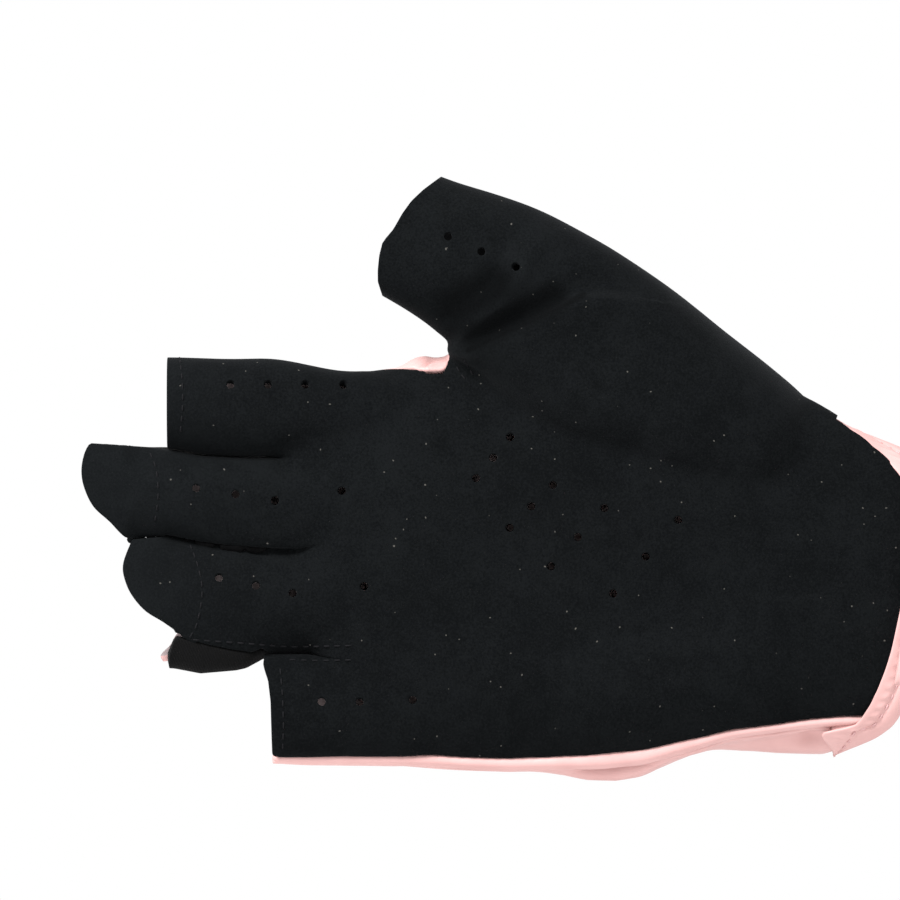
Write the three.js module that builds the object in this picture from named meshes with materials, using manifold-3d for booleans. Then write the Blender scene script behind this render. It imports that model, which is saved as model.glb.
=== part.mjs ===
// A right-hand weightlifting glove, worn: fingers towards -X, thumb towards +Z, palm facing -Y.
// The origin is the middle of the wrist opening. Lengths are in millimetres.

import * as THREE from 'three';
import { mergeVertices } from 'three/addons/utils/BufferGeometryUtils.js';
import Module from 'manifold-3d';

const wasm = await Module();
wasm.setup();

// Driving dimensions: the hand that the glove is cut for
const palmLength = 124;
const palmBreadth = 78;
const palmDepth = 28;
const wristBreadth = 58;
const wristDepth = 38;
const stallDepth = 17.4;
const indexLength = 52.4;
const indexBreadth = 17.4;
const middleLength = 58.4;
const middleBreadth = 17;
const ringLength = 51.4;
const ringBreadth = 23;
const littleLength = 32.2;
const littleBreadth = 20.4;
const thumbLength = 92;
const thumbBreadth = 26;
const thumbDepth = 23;

// Driving dimensions: materials and making
const suedeWall = 1.5;
const seamGap = 0.3;
const stallGap = 0.7;
const holeDiameter = 1.8;
const holeSides = 8;
const gussetBreadth = 10.4;
const gussetReach = 5;
const tabReach = 11;
const tabWall = 1.5;
const tabClearance = 0.45;
const pipingBreadth = 3.2;
const pipingDepth = 3.8;
const pipingSink = 0.45;
const pipingEnd = 0.6;
const bandWall = 2.3;
const bandProud = 0.5;
const strapBreadth = 18;
const strapWall = 2;
const strapLift = 1.3;

// How finely the faceted solids follow the curves
const bodySides = 44;
const stallSides = 20;
const thumbSides = 26;
const strapSteps = 26;
const pipingSides = 8;
const pipingSteps = 20;

// The cross-sections are rounded boxes: an exponent of 2 would be an ellipse
const bodySquareness = 2.35;
const stallSquareness = 2.25;

function table(columns, rows) {
  const names = columns.split(' ');
  return rows.map((row) => Object.fromEntries(names.map((name, i) => [name, row[i]])));
}

function midway(first, second) {
  return Object.fromEntries(Object.keys(first).map((name) => [name, (first[name] + second[name]) / 2]));
}

// Hand of the glove from the finger roots to the heel.
// along, lean and bow are shares of palmLength, upper and lower of palmBreadth,
// front and back of palmDepth. upper is the thumb side and front is the palm side.
const palmTable = table('along lean bow upper lower front back', [
  [0.965, -0.105, -0.040, 0.520, -0.405, 0.16, 0.18],
  [0.935, -0.105, -0.040, 0.543, -0.424, 0.29, 0.32],
  [0.870, -0.060, -0.020, 0.550, -0.430, 0.38, 0.41],
  [0.800, -0.030, 0.000, 0.594, -0.434, 0.43, 0.44],
  [0.745, -0.020, 0.000, 0.590, -0.437, 0.45, 0.46],
  [0.640, 0.000, 0.000, 0.558, -0.442, 0.48, 0.49],
  [0.540, 0.000, 0.000, 0.558, -0.464, 0.51, 0.51],
  [0.460, 0.000, 0.004, 0.556, -0.470, 0.54, 0.53],
  [0.385, 0.004, 0.016, 0.548, -0.442, 0.58, 0.55],
  [0.325, 0.015, 0.040, 0.536, -0.416, 0.61, 0.57],
  [0.255, 0.045, 0.085, 0.522, -0.408, 0.64, 0.60],
]);

// The heel edge of the suede and the rim of the wrist opening.
// along, lean and bow are shares of palmLength, upper and lower of wristBreadth,
// front and back of wristDepth.
const wristTable = table('along lean bow upper lower front back', [
  [0.182, 0.072, 0.145, 0.585, -0.548, 0.49, 0.46],
  [0.108, 0.090, 0.124, 0.497, -0.545, 0.50, 0.47],
]);
const bowPower = 6;

// Finger stalls, from the opening to the root, which lies inside the hand.
// along is a share of the stall's length, breadth a share of the stall's own breadth, curl its
// shift to the palm and depth its thickness as shares of stallDepth.
const stallTable = table('along breadth curl depth', [
  [0.00, 0.985, -0.16, 0.98],
  [0.20, 1.010, -0.13, 0.99],
  [0.42, 1.000, -0.09, 1.01],
  [0.62, 0.980, -0.05, 1.04],
  [0.82, 0.950, -0.02, 1.02],
  [1.00, 0.880, 0.00, 0.92],
]);

// Thumb stall, from its opening to its root in the hand. along is a share of thumbLength,
// upper, lower and bow are shares of thumbBreadth from the thumb's line, and forward, front
// and back are shares of thumbDepth.
const thumbTable = table('along upper lower bow forward front back', [
  [0.00, 0.500, -0.500, -0.13, -0.26, 0.48, 0.48],
  [0.12, 0.555, -0.540, -0.06, -0.26, 0.50, 0.50],
  [0.24, 0.605, -0.660, 0.00, -0.26, 0.53, 0.52],
  [0.36, 0.595, -0.800, 0.00, -0.25, 0.58, 0.52],
  [0.50, 0.560, -0.860, 0.00, -0.22, 0.64, 0.53],
  [0.62, 0.505, -0.800, 0.00, -0.18, 0.70, 0.54],
  [0.74, 0.415, -0.780, 0.00, -0.13, 0.74, 0.55],
  [0.86, 0.330, -0.760, 0.00, -0.08, 0.74, 0.55],
  [1.00, 0.130, -0.640, 0.00, 0.00, 0.56, 0.46],
]);
const thumbAngle = THREE.MathUtils.degToRad(27);
const thumbTipAlong = 0.821;
const thumbTipHeight = 0.895;

// Sections: a chord from the thumb side edge to the little finger side edge, with a depth to
// the palm and to the back
function bodySection(row, breadth, depth) {
  const x = -row.along * palmLength;
  const halfLean = (row.lean * palmLength) / 2;
  return {
    upper: new THREE.Vector2(x + halfLean, row.upper * breadth),
    lower: new THREE.Vector2(x - halfLean, row.lower * breadth),
    bow: row.bow * palmLength,
    y: 0,
    front: row.front * depth,
    back: row.back * depth,
    squareness: bodySquareness,
  };
}

const palmSections = palmTable.map((row) => bodySection(row, palmBreadth, palmDepth));
const [heelSection, rimSection] = wristTable.map((row) => bodySection(row, wristBreadth, wristDepth));
const bodySections = [...palmSections, heelSection];

// The four stalls stand side by side at their openings, from the ring finger's line outwards.
// Towards the hand each leans by its splay, in millimetres a millimetre, and widens or
// narrows by its taper, a share of its breadth.
const rootLine = -0.78 * palmLength;
const ringCentre = -0.015 * palmBreadth;
const middleCentre = ringCentre + (ringBreadth + middleBreadth) / 2 + stallGap;
const indexCentre = middleCentre + (middleBreadth + indexBreadth) / 2 + stallGap;
const littleCentre = ringCentre - (ringBreadth + littleBreadth) / 2 - stallGap;
const stalls = {
  index: { length: indexLength, breadth: indexBreadth, centre: indexCentre, splay: 0.055, taper: 0.02 },
  middle: { length: middleLength, breadth: middleBreadth, centre: middleCentre, splay: 0.07, taper: 0.06 },
  ring: { length: ringLength, breadth: ringBreadth, centre: ringCentre, splay: 0.015, taper: -0.14 },
  little: { length: littleLength, breadth: littleBreadth, centre: littleCentre, splay: 0, taper: 0.02 },
};
for (const stall of Object.values(stalls)) stall.opening = rootLine - stall.length;

function stallSections(stall) {
  return stallTable.map((row) => {
    const x = stall.opening + stall.length * row.along;
    const z = stall.centre - stall.splay * (x - stall.opening);
    const half = ((row.breadth + stall.taper * row.along) * stall.breadth) / 2;
    return {
      upper: new THREE.Vector2(x, z + half),
      lower: new THREE.Vector2(x, z - half),
      bow: 0,
      y: row.curl * stallDepth,
      front: (row.depth * stallDepth) / 2,
      back: (row.depth * stallDepth) / 2,
      squareness: stallSquareness,
    };
  });
}

const thumbTip = new THREE.Vector2(-thumbTipAlong * palmLength, thumbTipHeight * palmBreadth);
const thumbLine = new THREE.Vector2(Math.cos(thumbAngle), -Math.sin(thumbAngle));
const thumbAcross = new THREE.Vector2(Math.sin(thumbAngle), Math.cos(thumbAngle));
const thumbRows = thumbTable.flatMap((row, i) => (i === 0 ? [row] : [midway(thumbTable[i - 1], row), row]));
const thumbSections = thumbRows.map((row) => {
  const middle = thumbTip.clone().addScaledVector(thumbLine, row.along * thumbLength);
  return {
    upper: middle.clone().addScaledVector(thumbAcross, row.upper * thumbBreadth),
    lower: middle.clone().addScaledVector(thumbAcross, row.lower * thumbBreadth),
    bow: row.bow * thumbBreadth,
    y: row.forward * thumbDepth,
    front: row.front * thumbDepth,
    back: row.back * thumbDepth,
    squareness: stallSquareness,
  };
});

// A point of a section at an angle: 0 is the thumb side edge and a quarter turn the back.
// inset moves it inwards by a wall.
function sectionPoint(section, angle, inset = 0) {
  const power = 2 / section.squareness;
  const across = Math.sign(Math.cos(angle)) * Math.abs(Math.cos(angle)) ** power;
  const depth = Math.sign(Math.sin(angle)) * Math.abs(Math.sin(angle)) ** power;
  const middle = section.upper.clone().add(section.lower).multiplyScalar(0.5);
  const half = section.upper.clone().sub(section.lower).multiplyScalar(0.5);
  half.setLength(half.length() - inset);
  const reach = (depth < 0 ? section.front : section.back) - inset;
  return new THREE.Vector3(
    middle.x + half.x * across + section.bow * (1 - Math.abs(across) ** bowPower),
    section.y + reach * depth,
    middle.y + half.y * across,
  );
}

function shifted(section, towards, distance) {
  const step = new THREE.Vector2(towards.x, towards.y).setLength(distance);
  return { ...section, upper: section.upper.clone().add(step), lower: section.lower.clone().add(step) };
}

// Meshes from rings of points, all with the same number of points
function ringMesh(rings, closedAlong = false) {
  const sides = rings[0].length;
  const positions = rings.flat().flatMap((p) => [p.x, p.y, p.z]);
  const faces = [];
  const spans = closedAlong ? rings.length : rings.length - 1;
  for (let i = 0; i < spans; i += 1) {
    const next = (i + 1) % rings.length;
    for (let j = 0; j < sides; j += 1) {
      const a = i * sides + j;
      const b = i * sides + ((j + 1) % sides);
      const c = next * sides + j;
      const d = next * sides + ((j + 1) % sides);
      faces.push(a, b, c, b, d, c);
    }
  }
  if (!closedAlong) {
    const last = (rings.length - 1) * sides;
    for (let j = 0; j < sides / 2 - 1; j += 1) {
      const [a, b, c, d] = [j, j + 1, sides - 2 - j, sides - 1 - j];
      faces.push(a, c, b, a, d, c);
      faces.push(last + a, last + b, last + c, last + a, last + c, last + d);
    }
  }
  const geometry = new THREE.BufferGeometry();
  geometry.setAttribute('position', new THREE.Float32BufferAttribute(positions, 3));
  geometry.setIndex(signedVolume(positions, faces) < 0 ? faces.reverse() : faces);
  return geometry;
}

function signedVolume(positions, faces) {
  const corner = (i) => new THREE.Vector3().fromArray(positions, 3 * faces[i]);
  let sum = 0;
  for (let i = 0; i < faces.length; i += 3) {
    sum += corner(i).dot(corner(i + 1).cross(corner(i + 2))) / 6;
  }
  return sum;
}

function toSolid(geometry) {
  const bare = geometry.clone();
  bare.deleteAttribute('normal');
  bare.deleteAttribute('uv');
  const merged = mergeVertices(bare, 1e-4);
  const solid = new wasm.Manifold(new wasm.Mesh({
    numProp: 3,
    vertProperties: new Float32Array(merged.attributes.position.array),
    triVerts: new Uint32Array(merged.index.array),
  }));
  return solid;
}

function toGeometry(solid) {
  const mesh = solid.getMesh();
  const geometry = new THREE.BufferGeometry();
  geometry.setAttribute('position', new THREE.Float32BufferAttribute(Array.from(mesh.vertProperties), 3));
  geometry.setIndex(Array.from(mesh.triVerts));
  return geometry;
}

function loft(sections, sides, inset = 0) {
  const rings = sections.map((section) => Array.from({ length: sides }, (_, j) => (
    folded(sectionPoint(section, (2 * Math.PI * (j + 0.5)) / sides, inset), section)
  )));
  return toSolid(ringMesh(rings));
}

// Folds, dents and pads of the palm side: ridges from one place to another. along is a share
// of palmLength, height, spread and rise are shares of palmBreadth; a negative rise is a dent.
const foldTable = table('along height toAlong toHeight spread rise', [
  [0.750, 0.595, 0.605, 0.700, 0.045, 0.022],
  [0.605, 0.700, 0.460, 0.750, 0.045, 0.016],
  [0.740, 0.640, 0.610, 0.765, 0.040, -0.016],
  [0.742, 0.610, 0.640, 0.760, 0.045, 0.012],
  [0.690, 0.060, 0.380, -0.010, 0.200, -0.030],
  [0.480, 0.400, 0.300, 0.270, 0.150, 0.018],
  [0.500, -0.290, 0.300, -0.240, 0.120, 0.014],
]);

function folded(point, section) {
  const reach = Math.max(0, (section.y - point.y) / section.front);
  const place = new THREE.Vector3(point.x, 0, point.z);
  let lift = 0;
  for (const row of foldTable) {
    const start = new THREE.Vector3(-row.along * palmLength, 0, row.height * palmBreadth);
    const end = new THREE.Vector3(-row.toAlong * palmLength, 0, row.toHeight * palmBreadth);
    const nearest = new THREE.Line3(start, end).closestPointToPoint(place, true, new THREE.Vector3());
    const spread = row.spread * palmBreadth;
    lift += row.rise * palmBreadth * Math.exp(-nearest.distanceToSquared(place) / spread ** 2);
  }
  return new THREE.Vector3(point.x, point.y - lift * Math.min(1, 1.5 * reach), point.z);
}

// A band round the hand: its cross-section, a closed list of sections and insets, taken round
function collar(outline, sides) {
  const rings = Array.from({ length: sides }, (_, j) => {
    const angle = (2 * Math.PI * (j + 0.5)) / sides;
    return outline.map((corner) => sectionPoint(corner.section, angle, corner.inset));
  });
  return ringMesh(rings, true);
}

// Shell of the whole glove: the outside less the hollow, which runs out of every opening
const overrun = 6;
const lipMargin = 0.6;
const fingerward = new THREE.Vector2(-1, 0);
const wristward = new THREE.Vector2(1, 0);
const thumbward = thumbLine.clone().negate();

function hollowSections(sections, towards) {
  const [opening, ...rest] = sections;
  return [shifted(opening, towards, overrun), shifted(opening, towards, lipMargin), ...rest];
}

const pastHeel = shifted(heelSection, wristward, overrun);
const farPastHeel = shifted(heelSection, wristward, 2 * overrun);
const outside = [loft([...bodySections, pastHeel], bodySides), loft(thumbSections, thumbSides)];
const hollow = [
  loft([
    shifted(bodySections[0], wristward, suedeWall),
    ...bodySections.slice(1),
    farPastHeel,
  ], bodySides, suedeWall),
  loft(hollowSections(thumbSections, thumbward), thumbSides, suedeWall),
];
for (const stall of Object.values(stalls)) {
  const sections = stallSections(stall);
  outside.push(loft(sections, stallSides));
  hollow.push(loft(hollowSections(sections, fingerward), stallSides, suedeWall));
}
const joined = (solids) => solids.reduce((all, solid) => all.add(solid));
const heelCut = toSolid(collar([
  { section: heelSection, inset: -overrun },
  { section: heelSection, inset: overrun },
  { section: farPastHeel, inset: overrun },
  { section: farPastHeel, inset: -overrun },
], bodySides));
const shell = joined(outside).subtract(joined(hollow)).subtract(heelCut);

// The seam between palm and back: a sheet across the hollow, further forward on the little
// finger side. along is a share of palmLength, ulnar and radial are shares of palmDepth.
const seamTable = table('along ulnar radial', [
  [-0.30, -0.42, 0.02],
  [0.15, -0.42, 0.02],
  [0.30, -0.34, 0.00],
  [0.46, -0.25, -0.08],
  [0.60, -0.18, -0.15],
  [0.80, -0.14, -0.22],
  [0.89, -0.18, 0.02],
  [2.00, -0.20, 0.02],
]);

function seamRow(x) {
  const share = -x / palmLength;
  const next = Math.max(1, seamTable.findIndex((row) => row.along >= share));
  const [low, high] = [seamTable[next - 1], seamTable[next]];
  const t = (share - low.along) / (high.along - low.along);
  return {
    ulnar: palmDepth * THREE.MathUtils.lerp(low.ulnar, high.ulnar, t),
    radial: palmDepth * THREE.MathUtils.lerp(low.radial, high.radial, t),
  };
}

// Everything on one side of the seam sheet: side is -1 for the palm and 1 for the back
function seamSide(side, offset) {
  const far = side * (palmDepth + wristDepth + thumbDepth);
  const edge = palmBreadth / 2;
  const rings = seamTable.map((row) => {
    const x = -row.along * palmLength;
    const ulnar = row.ulnar * palmDepth + offset;
    const radial = row.radial * palmDepth + offset;
    return [
      new THREE.Vector3(x, ulnar, -4 * edge),
      new THREE.Vector3(x, ulnar, -edge),
      new THREE.Vector3(x, radial, edge),
      new THREE.Vector3(x, radial, 4 * edge),
      new THREE.Vector3(x, far, 4 * edge),
      new THREE.Vector3(x, far, -4 * edge),
    ];
  });
  return toSolid(ringMesh(rings));
}

// Knit gussets between neighbouring stalls. clearance widens the region to leave the seam gap.
const gussetPairs = [['index', 'middle'], ['middle', 'ring'], ['ring', 'little']];

function gussetRegion(upperName, lowerName, clearance) {
  const upper = stalls[upperName];
  const lower = stalls[lowerName];
  const start = Math.min(upper.opening, lower.opening) - overrun;
  const knuckle = palmSections[1];
  const crotch = Math.max(knuckle.upper.x, knuckle.lower.x) + gussetReach + clearance;
  const edgeLine = (x) => lower.centre + lower.breadth / 2 + stallGap / 2
    - lower.splay * (x - lower.opening);
  const halfBreadth = gussetBreadth / 2 + clearance;
  const halfWidth = 0.42 * Math.min(upper.breadth, lower.breadth) + clearance;
  const rings = [start, crotch].map((x) => {
    const y = x === start ? stallTable[0].curl * stallDepth : stallTable[2].curl * stallDepth;
    return [
      new THREE.Vector3(x, y - halfBreadth, edgeLine(x) - halfWidth),
      new THREE.Vector3(x, y - halfBreadth, edgeLine(x) + halfWidth),
      new THREE.Vector3(x, y + halfBreadth, edgeLine(x) + halfWidth),
      new THREE.Vector3(x, y + halfBreadth, edgeLine(x) - halfWidth),
    ];
  });
  return toSolid(ringMesh(rings));
}

// Rolled strip along the little finger side, in the seam between palm and back
function seamPoint(section) {
  const share = Math.min(0.9, (section.y - seamRow(section.lower.x).ulnar) / section.front);
  const angle = Math.PI + Math.asin(share ** (section.squareness / 2));
  return sectionPoint(section, angle, pipingSink);
}

function pipingSolid(clearance) {
  const line = [
    ...stallSections(stalls.little).slice(0, 3),
    ...palmSections.slice(3),
    between(palmSections.at(-1), heelSection, pipingEnd),
  ].map(seamPoint);
  const curve = new THREE.CatmullRomCurve3(line);
  const rings = Array.from({ length: pipingSteps + 1 }, (_, i) => {
    const centre = curve.getPointAt(i / pipingSteps);
    const past = { 0: -overrun, [pipingSteps]: 3 * overrun }[i] ?? 0;
    const overhang = clearance > 0 ? past : 0;
    return Array.from({ length: pipingSides }, (__, j) => {
      const angle = (2 * Math.PI * j) / pipingSides;
      const inward = clearance && Math.sin(angle) > 0.5 ? suedeWall : 0;
      return new THREE.Vector3(
        centre.x + overhang,
        centre.y + (pipingDepth / 2 + clearance) * Math.cos(angle),
        centre.z + (pipingBreadth / 2 + clearance) * Math.sin(angle) + inward,
      );
    });
  });
  return toSolid(ringMesh(rings));
}

// The thumb's own back piece: above a line from the thumb web to the wrist, as shares of
// palmLength and palmBreadth
const webLine = table('along height', [
  [1.10, 0.72],
  [0.86, 0.635],
  [0.76, 0.600],
  [0.62, 0.500],
  [0.35, 0.400],
  [-0.20, 0.300],
]);

function thumbRegion(clearance) {
  const outline = webLine.map((row) => (
    new THREE.Vector2(-row.along * palmLength, row.height * palmBreadth - clearance)
  ));
  const top = 2 * palmBreadth;
  const last = outline[outline.length - 1];
  const far = palmDepth + wristDepth + thumbDepth;
  const corners = [...outline, new THREE.Vector2(last.x, top), new THREE.Vector2(outline[0].x, top)];
  const slab = new THREE.ExtrudeGeometry(new THREE.Shape(corners), { depth: 2 * far, bevelEnabled: false });
  slab.rotateX(Math.PI / 2);
  slab.translate(0, far, 0);
  return toSolid(slab);
}

// Air holes, straight through the palm's suede. along and height are shares of palmLength and
// palmBreadth for the first hole of a row, and the steps to the next holes are too.
const holeTable = table('along height stepAlong stepHeight count', [
  [1.105, 0.522, -0.059, 0.000, 3],
  [0.927, 0.522, 0.000, 0.000, 1],
  [1.159, 0.262, -0.062, -0.015, 3],
  [0.930, 0.256, 0.000, 0.000, 1],
  [1.123, 0.038, -0.058, -0.020, 3],
  [0.895, 0.015, 0.000, 0.000, 1],
  [0.961, -0.274, -0.060, 0.000, 2],
  [0.818, -0.271, 0.000, 0.000, 1],
  [0.762, 0.892, -0.053, -0.038, 3],
  [0.664, 0.390, 0.027, -0.052, 3],
  [0.597, 0.269, 0.034, -0.054, 3],
  [0.516, 0.211, 0.042, -0.073, 3],
  [0.400, 0.181, 0.051, -0.092, 3],
]);

function airHole(along, height) {
  const depth = palmDepth + wristDepth + thumbDepth;
  const bore = new THREE.CylinderGeometry(holeDiameter / 2, holeDiameter / 2, depth, holeSides);
  bore.translate(-along * palmLength, -depth / 2 - suedeWall, height * palmBreadth);
  return toSolid(bore);
}

const airHoles = holeTable.flatMap((row) => Array.from({ length: row.count }, (_, i) => (
  airHole(row.along + i * row.stepAlong, row.height + i * row.stepHeight)
)));

// The panels are the shell, cut along the seams
const piping = pipingSolid(0);
const gussets = gussetPairs.map(([upper, lower]) => shell.intersect(gussetRegion(upper, lower, 0)));
const seamRoom = joined([
  pipingSolid(seamGap),
  ...gussetPairs.map(([upper, lower]) => gussetRegion(upper, lower, seamGap)),
]);
const panels = shell.subtract(seamRoom);
const backs = panels.intersect(seamSide(1, seamGap / 2));
const palmPanel = panels.intersect(seamSide(-1, -seamGap / 2)).subtract(joined(airHoles));
const thumbBack = backs.intersect(thumbRegion(0));
const backPanel = backs.subtract(thumbRegion(seamGap));

// A suede tongue sewn inside the palm side of a stall, standing out of its opening. out is a
// share of tabReach and negative inside the stall, upper and lower are shares of the stall's
// breadth. The tongue flattens as it leaves the stall.
const tabTables = {
  middle: table('out upper lower', [
    [-0.60, 0.27, -0.27],
    [0.03, 0.28, -0.28],
    [0.12, 0.48, -0.45],
    [0.50, 0.53, -0.35],
    [0.78, 0.50, -0.20],
    [0.95, 0.38, 0.02],
    [1.00, 0.24, 0.13],
  ]),
  ring: table('out upper lower', [
    [-0.60, 0.31, -0.24],
    [0.03, 0.32, -0.24],
    [0.12, 0.43, -0.22],
    [0.27, 0.47, -0.16],
    [0.50, 0.48, -0.08],
    [0.69, 0.46, 0.00],
    [0.83, 0.40, 0.09],
    [0.89, 0.32, 0.20],
  ]),
};
const tabSamples = 6;
const tabFlattening = 0.25;

function pullTab(name) {
  const stall = stalls[name];
  const [opening, next] = stallSections(stall);
  const roomHalf = stall.breadth / 2 - suedeWall - tabClearance;
  const rings = tabTables[name].map((row) => {
    const x = stall.opening - row.out * tabReach;
    const inside = Math.max(0, x - stall.opening) / (next.upper.x - stall.opening);
    const section = between(opening, next, inside);
    const centre = (section.upper.y + section.lower.y) / 2;
    const roomFront = section.front - suedeWall - tabClearance;
    const bend = 1 - tabFlattening * Math.max(0, row.out);
    const samples = Array.from({ length: tabSamples + 1 }, (_, i) => {
      const across = THREE.MathUtils.lerp(row.upper, row.lower, i / tabSamples) * stall.breadth;
      const share = bend * Math.min(0.92, Math.abs(across) / roomHalf);
      const hollowY = roomFront * (1 - share ** stallSquareness) ** (1 / stallSquareness);
      return { z: centre + across, y: section.y - hollowY };
    });
    return [
      ...samples.map((sample) => new THREE.Vector3(x, sample.y, sample.z)),
      ...samples.reverse().map((sample) => new THREE.Vector3(x, sample.y + tabWall, sample.z)),
    ];
  });
  return ringMesh(rings);
}

// A section between two sections, share of the way
function between(first, second, share) {
  const mix = (key) => THREE.MathUtils.lerp(first[key], second[key], share);
  return {
    upper: first.upper.clone().lerp(second.upper, share),
    lower: first.lower.clone().lerp(second.lower, share),
    bow: mix('bow'),
    y: mix('y'),
    front: mix('front'),
    back: mix('back'),
    squareness: first.squareness,
  };
}

// Turned and stitched band: its outline in cross-section, from the heel edge to the rim.
// along is a share of the way to the rim, out a share of bandWall from its own inner face.
const bandOutline = table('along out', [
  [0.11, 0.15],
  [0.10, 0.70],
  [0.24, 1.00],
  [0.75, 1.00],
  [0.95, 0.85],
  [1.00, 0.50],
  [0.94, 0.10],
  [0.80, 0.00],
  [0.12, 0.00],
]);

function wristBand() {
  return collar(bandOutline.map((row) => ({
    section: between(heelSection, rimSection, row.along),
    inset: bandWall * (1 - row.out) - bandProud,
  })), bodySides);
}

// Closing strap, from its squared end on the palm, over the thumb side, to the back of the wrist
const strapStart = THREE.MathUtils.degToRad(-120);
const strapEnd = THREE.MathUtils.degToRad(150);
const strapOutline = table('across out', [
  [0.00, 0.25],
  [0.00, 0.75],
  [0.06, 1.00],
  [0.94, 1.00],
  [1.00, 0.75],
  [1.00, 0.25],
  [0.94, 0.00],
  [0.06, 0.00],
]);
const strapEdge = {
  ...rimSection,
  upper: new THREE.Vector2(-0.032 * palmLength, rimSection.upper.y),
  lower: new THREE.Vector2(-0.097 * palmLength, rimSection.lower.y),
  bow: 0.024 * palmLength,
};

function wristStrap() {
  const far = shifted(strapEdge, wristward, strapBreadth);
  const rings = Array.from({ length: strapSteps + 1 }, (_, j) => {
    const angle = THREE.MathUtils.lerp(strapStart, strapEnd, j / strapSteps);
    return strapOutline.map((row) => (
      sectionPoint(between(strapEdge, far, row.across), angle, -strapLift - strapWall * row.out)
    ));
  });
  const bandRoom = loft([palmSections.at(-1), heelSection, rimSection], bodySides, -bandProud - seamGap);
  return toGeometry(toSolid(ringMesh(rings)).subtract(bandRoom));
}

// Finishes
const suede = new THREE.MeshStandardMaterial({ color: 0x1c1d20, roughness: 0.95, metalness: 0 });
const knit = new THREE.MeshStandardMaterial({ color: 0x141416, roughness: 1, metalness: 0 });
const leather = new THREE.MeshStandardMaterial({ color: 0xe6b8b4, roughness: 0.55, metalness: 0 });

const group = new THREE.Group();

function addPart(name, geometry, material) {
  const mesh = new THREE.Mesh(geometry, material);
  mesh.name = name;
  group.add(mesh);
}

addPart('palm_panel', toGeometry(palmPanel), suede);
addPart('thumb_back', toGeometry(thumbBack), suede);
addPart('back_panel', toGeometry(backPanel), leather);
gussetPairs.forEach(([upper, lower], i) => {
  addPart(`gusset_${upper}_${lower}`, toGeometry(gussets[i]), knit);
});
addPart('pull_tab_middle', pullTab('middle'), suede);
addPart('pull_tab_ring', pullTab('ring'), suede);
addPart('side_piping', toGeometry(piping), leather);
addPart('wrist_band', wristBand(), leather);
addPart('wrist_strap', wristStrap(), leather);

export default group;
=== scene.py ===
# %% [markdown]
# # A half-finger weightlifting glove, as worn on a right hand
# The glove is a pierced black suede palm, a pink back, ribbed knit between the fingers, a rolled
# strip down the little finger side and a stitched band with a closing strap at the wrist.
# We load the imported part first. Every piece below is made in its frame, in metres, so nothing
# has to be fitted afterwards: fingers towards -X, thumb towards +Z, palm facing -Y.

# %% Load the frame
import math

import bmesh
import bpy
import numpy as np
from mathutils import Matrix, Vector
from mathutils.bvhtree import BVHTree


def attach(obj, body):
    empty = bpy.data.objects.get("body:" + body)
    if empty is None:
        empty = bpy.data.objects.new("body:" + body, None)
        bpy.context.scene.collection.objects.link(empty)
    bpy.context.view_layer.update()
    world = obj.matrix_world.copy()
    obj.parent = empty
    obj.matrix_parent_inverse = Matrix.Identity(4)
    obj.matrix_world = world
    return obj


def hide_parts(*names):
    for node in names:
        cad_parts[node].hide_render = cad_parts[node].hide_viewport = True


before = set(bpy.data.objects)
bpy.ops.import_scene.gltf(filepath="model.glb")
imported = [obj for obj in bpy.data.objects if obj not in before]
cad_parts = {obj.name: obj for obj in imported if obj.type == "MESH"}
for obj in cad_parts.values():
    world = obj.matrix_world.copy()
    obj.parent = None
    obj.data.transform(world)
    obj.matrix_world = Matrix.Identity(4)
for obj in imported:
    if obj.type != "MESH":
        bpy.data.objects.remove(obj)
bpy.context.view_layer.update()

MM = 0.001
print("nodes:", ", ".join(sorted(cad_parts)))

# %% [markdown]
# ## Camera, floor and light
# The glove was photographed straight on to the palm, from far away. A very long lens at four
# metres gives that flat look and still lets other views frame the glove. The floor is pale and
# the light comes from large soft lamps, because a hard lamp would put streaks on the suede.

# %% Camera and floor
VIEW_MIDDLE = (-94.12, 27.84)
VIEW_WIDTH = 176.47
CAMERA_AWAY = 4.0
SENSOR = 36.0
FLOOR_HEIGHT, FLOOR_RADIUS, FLOOR_SIDES = -80 * MM, 0.8, 96


def make_camera():
    data = bpy.data.cameras.new("camera")
    data.sensor_width = SENSOR
    data.lens = SENSOR * CAMERA_AWAY / (VIEW_WIDTH * MM)
    data.clip_end = 60.0
    camera = bpy.data.objects.new("camera", data)
    camera.location = (VIEW_MIDDLE[0] * MM, -CAMERA_AWAY, VIEW_MIDDLE[1] * MM)
    camera.rotation_euler = (math.pi / 2, 0.0, 0.0)
    bpy.context.scene.collection.objects.link(camera)
    bpy.context.scene.camera = camera
    return camera


def make_floor():
    mesh = bpy.data.meshes.new("floor")
    turns = [2 * math.pi * i / FLOOR_SIDES for i in range(FLOOR_SIDES)]
    corners = [(FLOOR_RADIUS * math.cos(t), FLOOR_RADIUS * math.sin(t), FLOOR_HEIGHT) for t in turns]
    mesh.from_pydata(corners, [], [range(FLOOR_SIDES)])
    floor = bpy.data.objects.new("floor", mesh)
    bpy.context.scene.collection.objects.link(floor)
    paint = bpy.data.materials.new("pale_floor")
    paint.use_nodes = True
    shader = paint.node_tree.nodes["Principled BSDF"]
    shader.inputs["Base Color"].default_value = (0.74, 0.74, 0.74, 1)
    shader.inputs["Roughness"].default_value = 0.9
    mesh.materials.append(paint)


camera = make_camera()
make_floor()
print("lens:", round(camera.data.lens), "mm")

# %% Soft light
LAMP_AIM = Vector((-0.08, 0.0, 0.02))


def make_world(strength):
    world = bpy.data.worlds.new("studio")
    world.use_nodes = True
    background = world.node_tree.nodes["Background"]
    background.inputs["Color"].default_value = (1.0, 1.0, 1.0, 1)
    background.inputs["Strength"].default_value = strength
    bpy.context.scene.world = world


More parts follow.
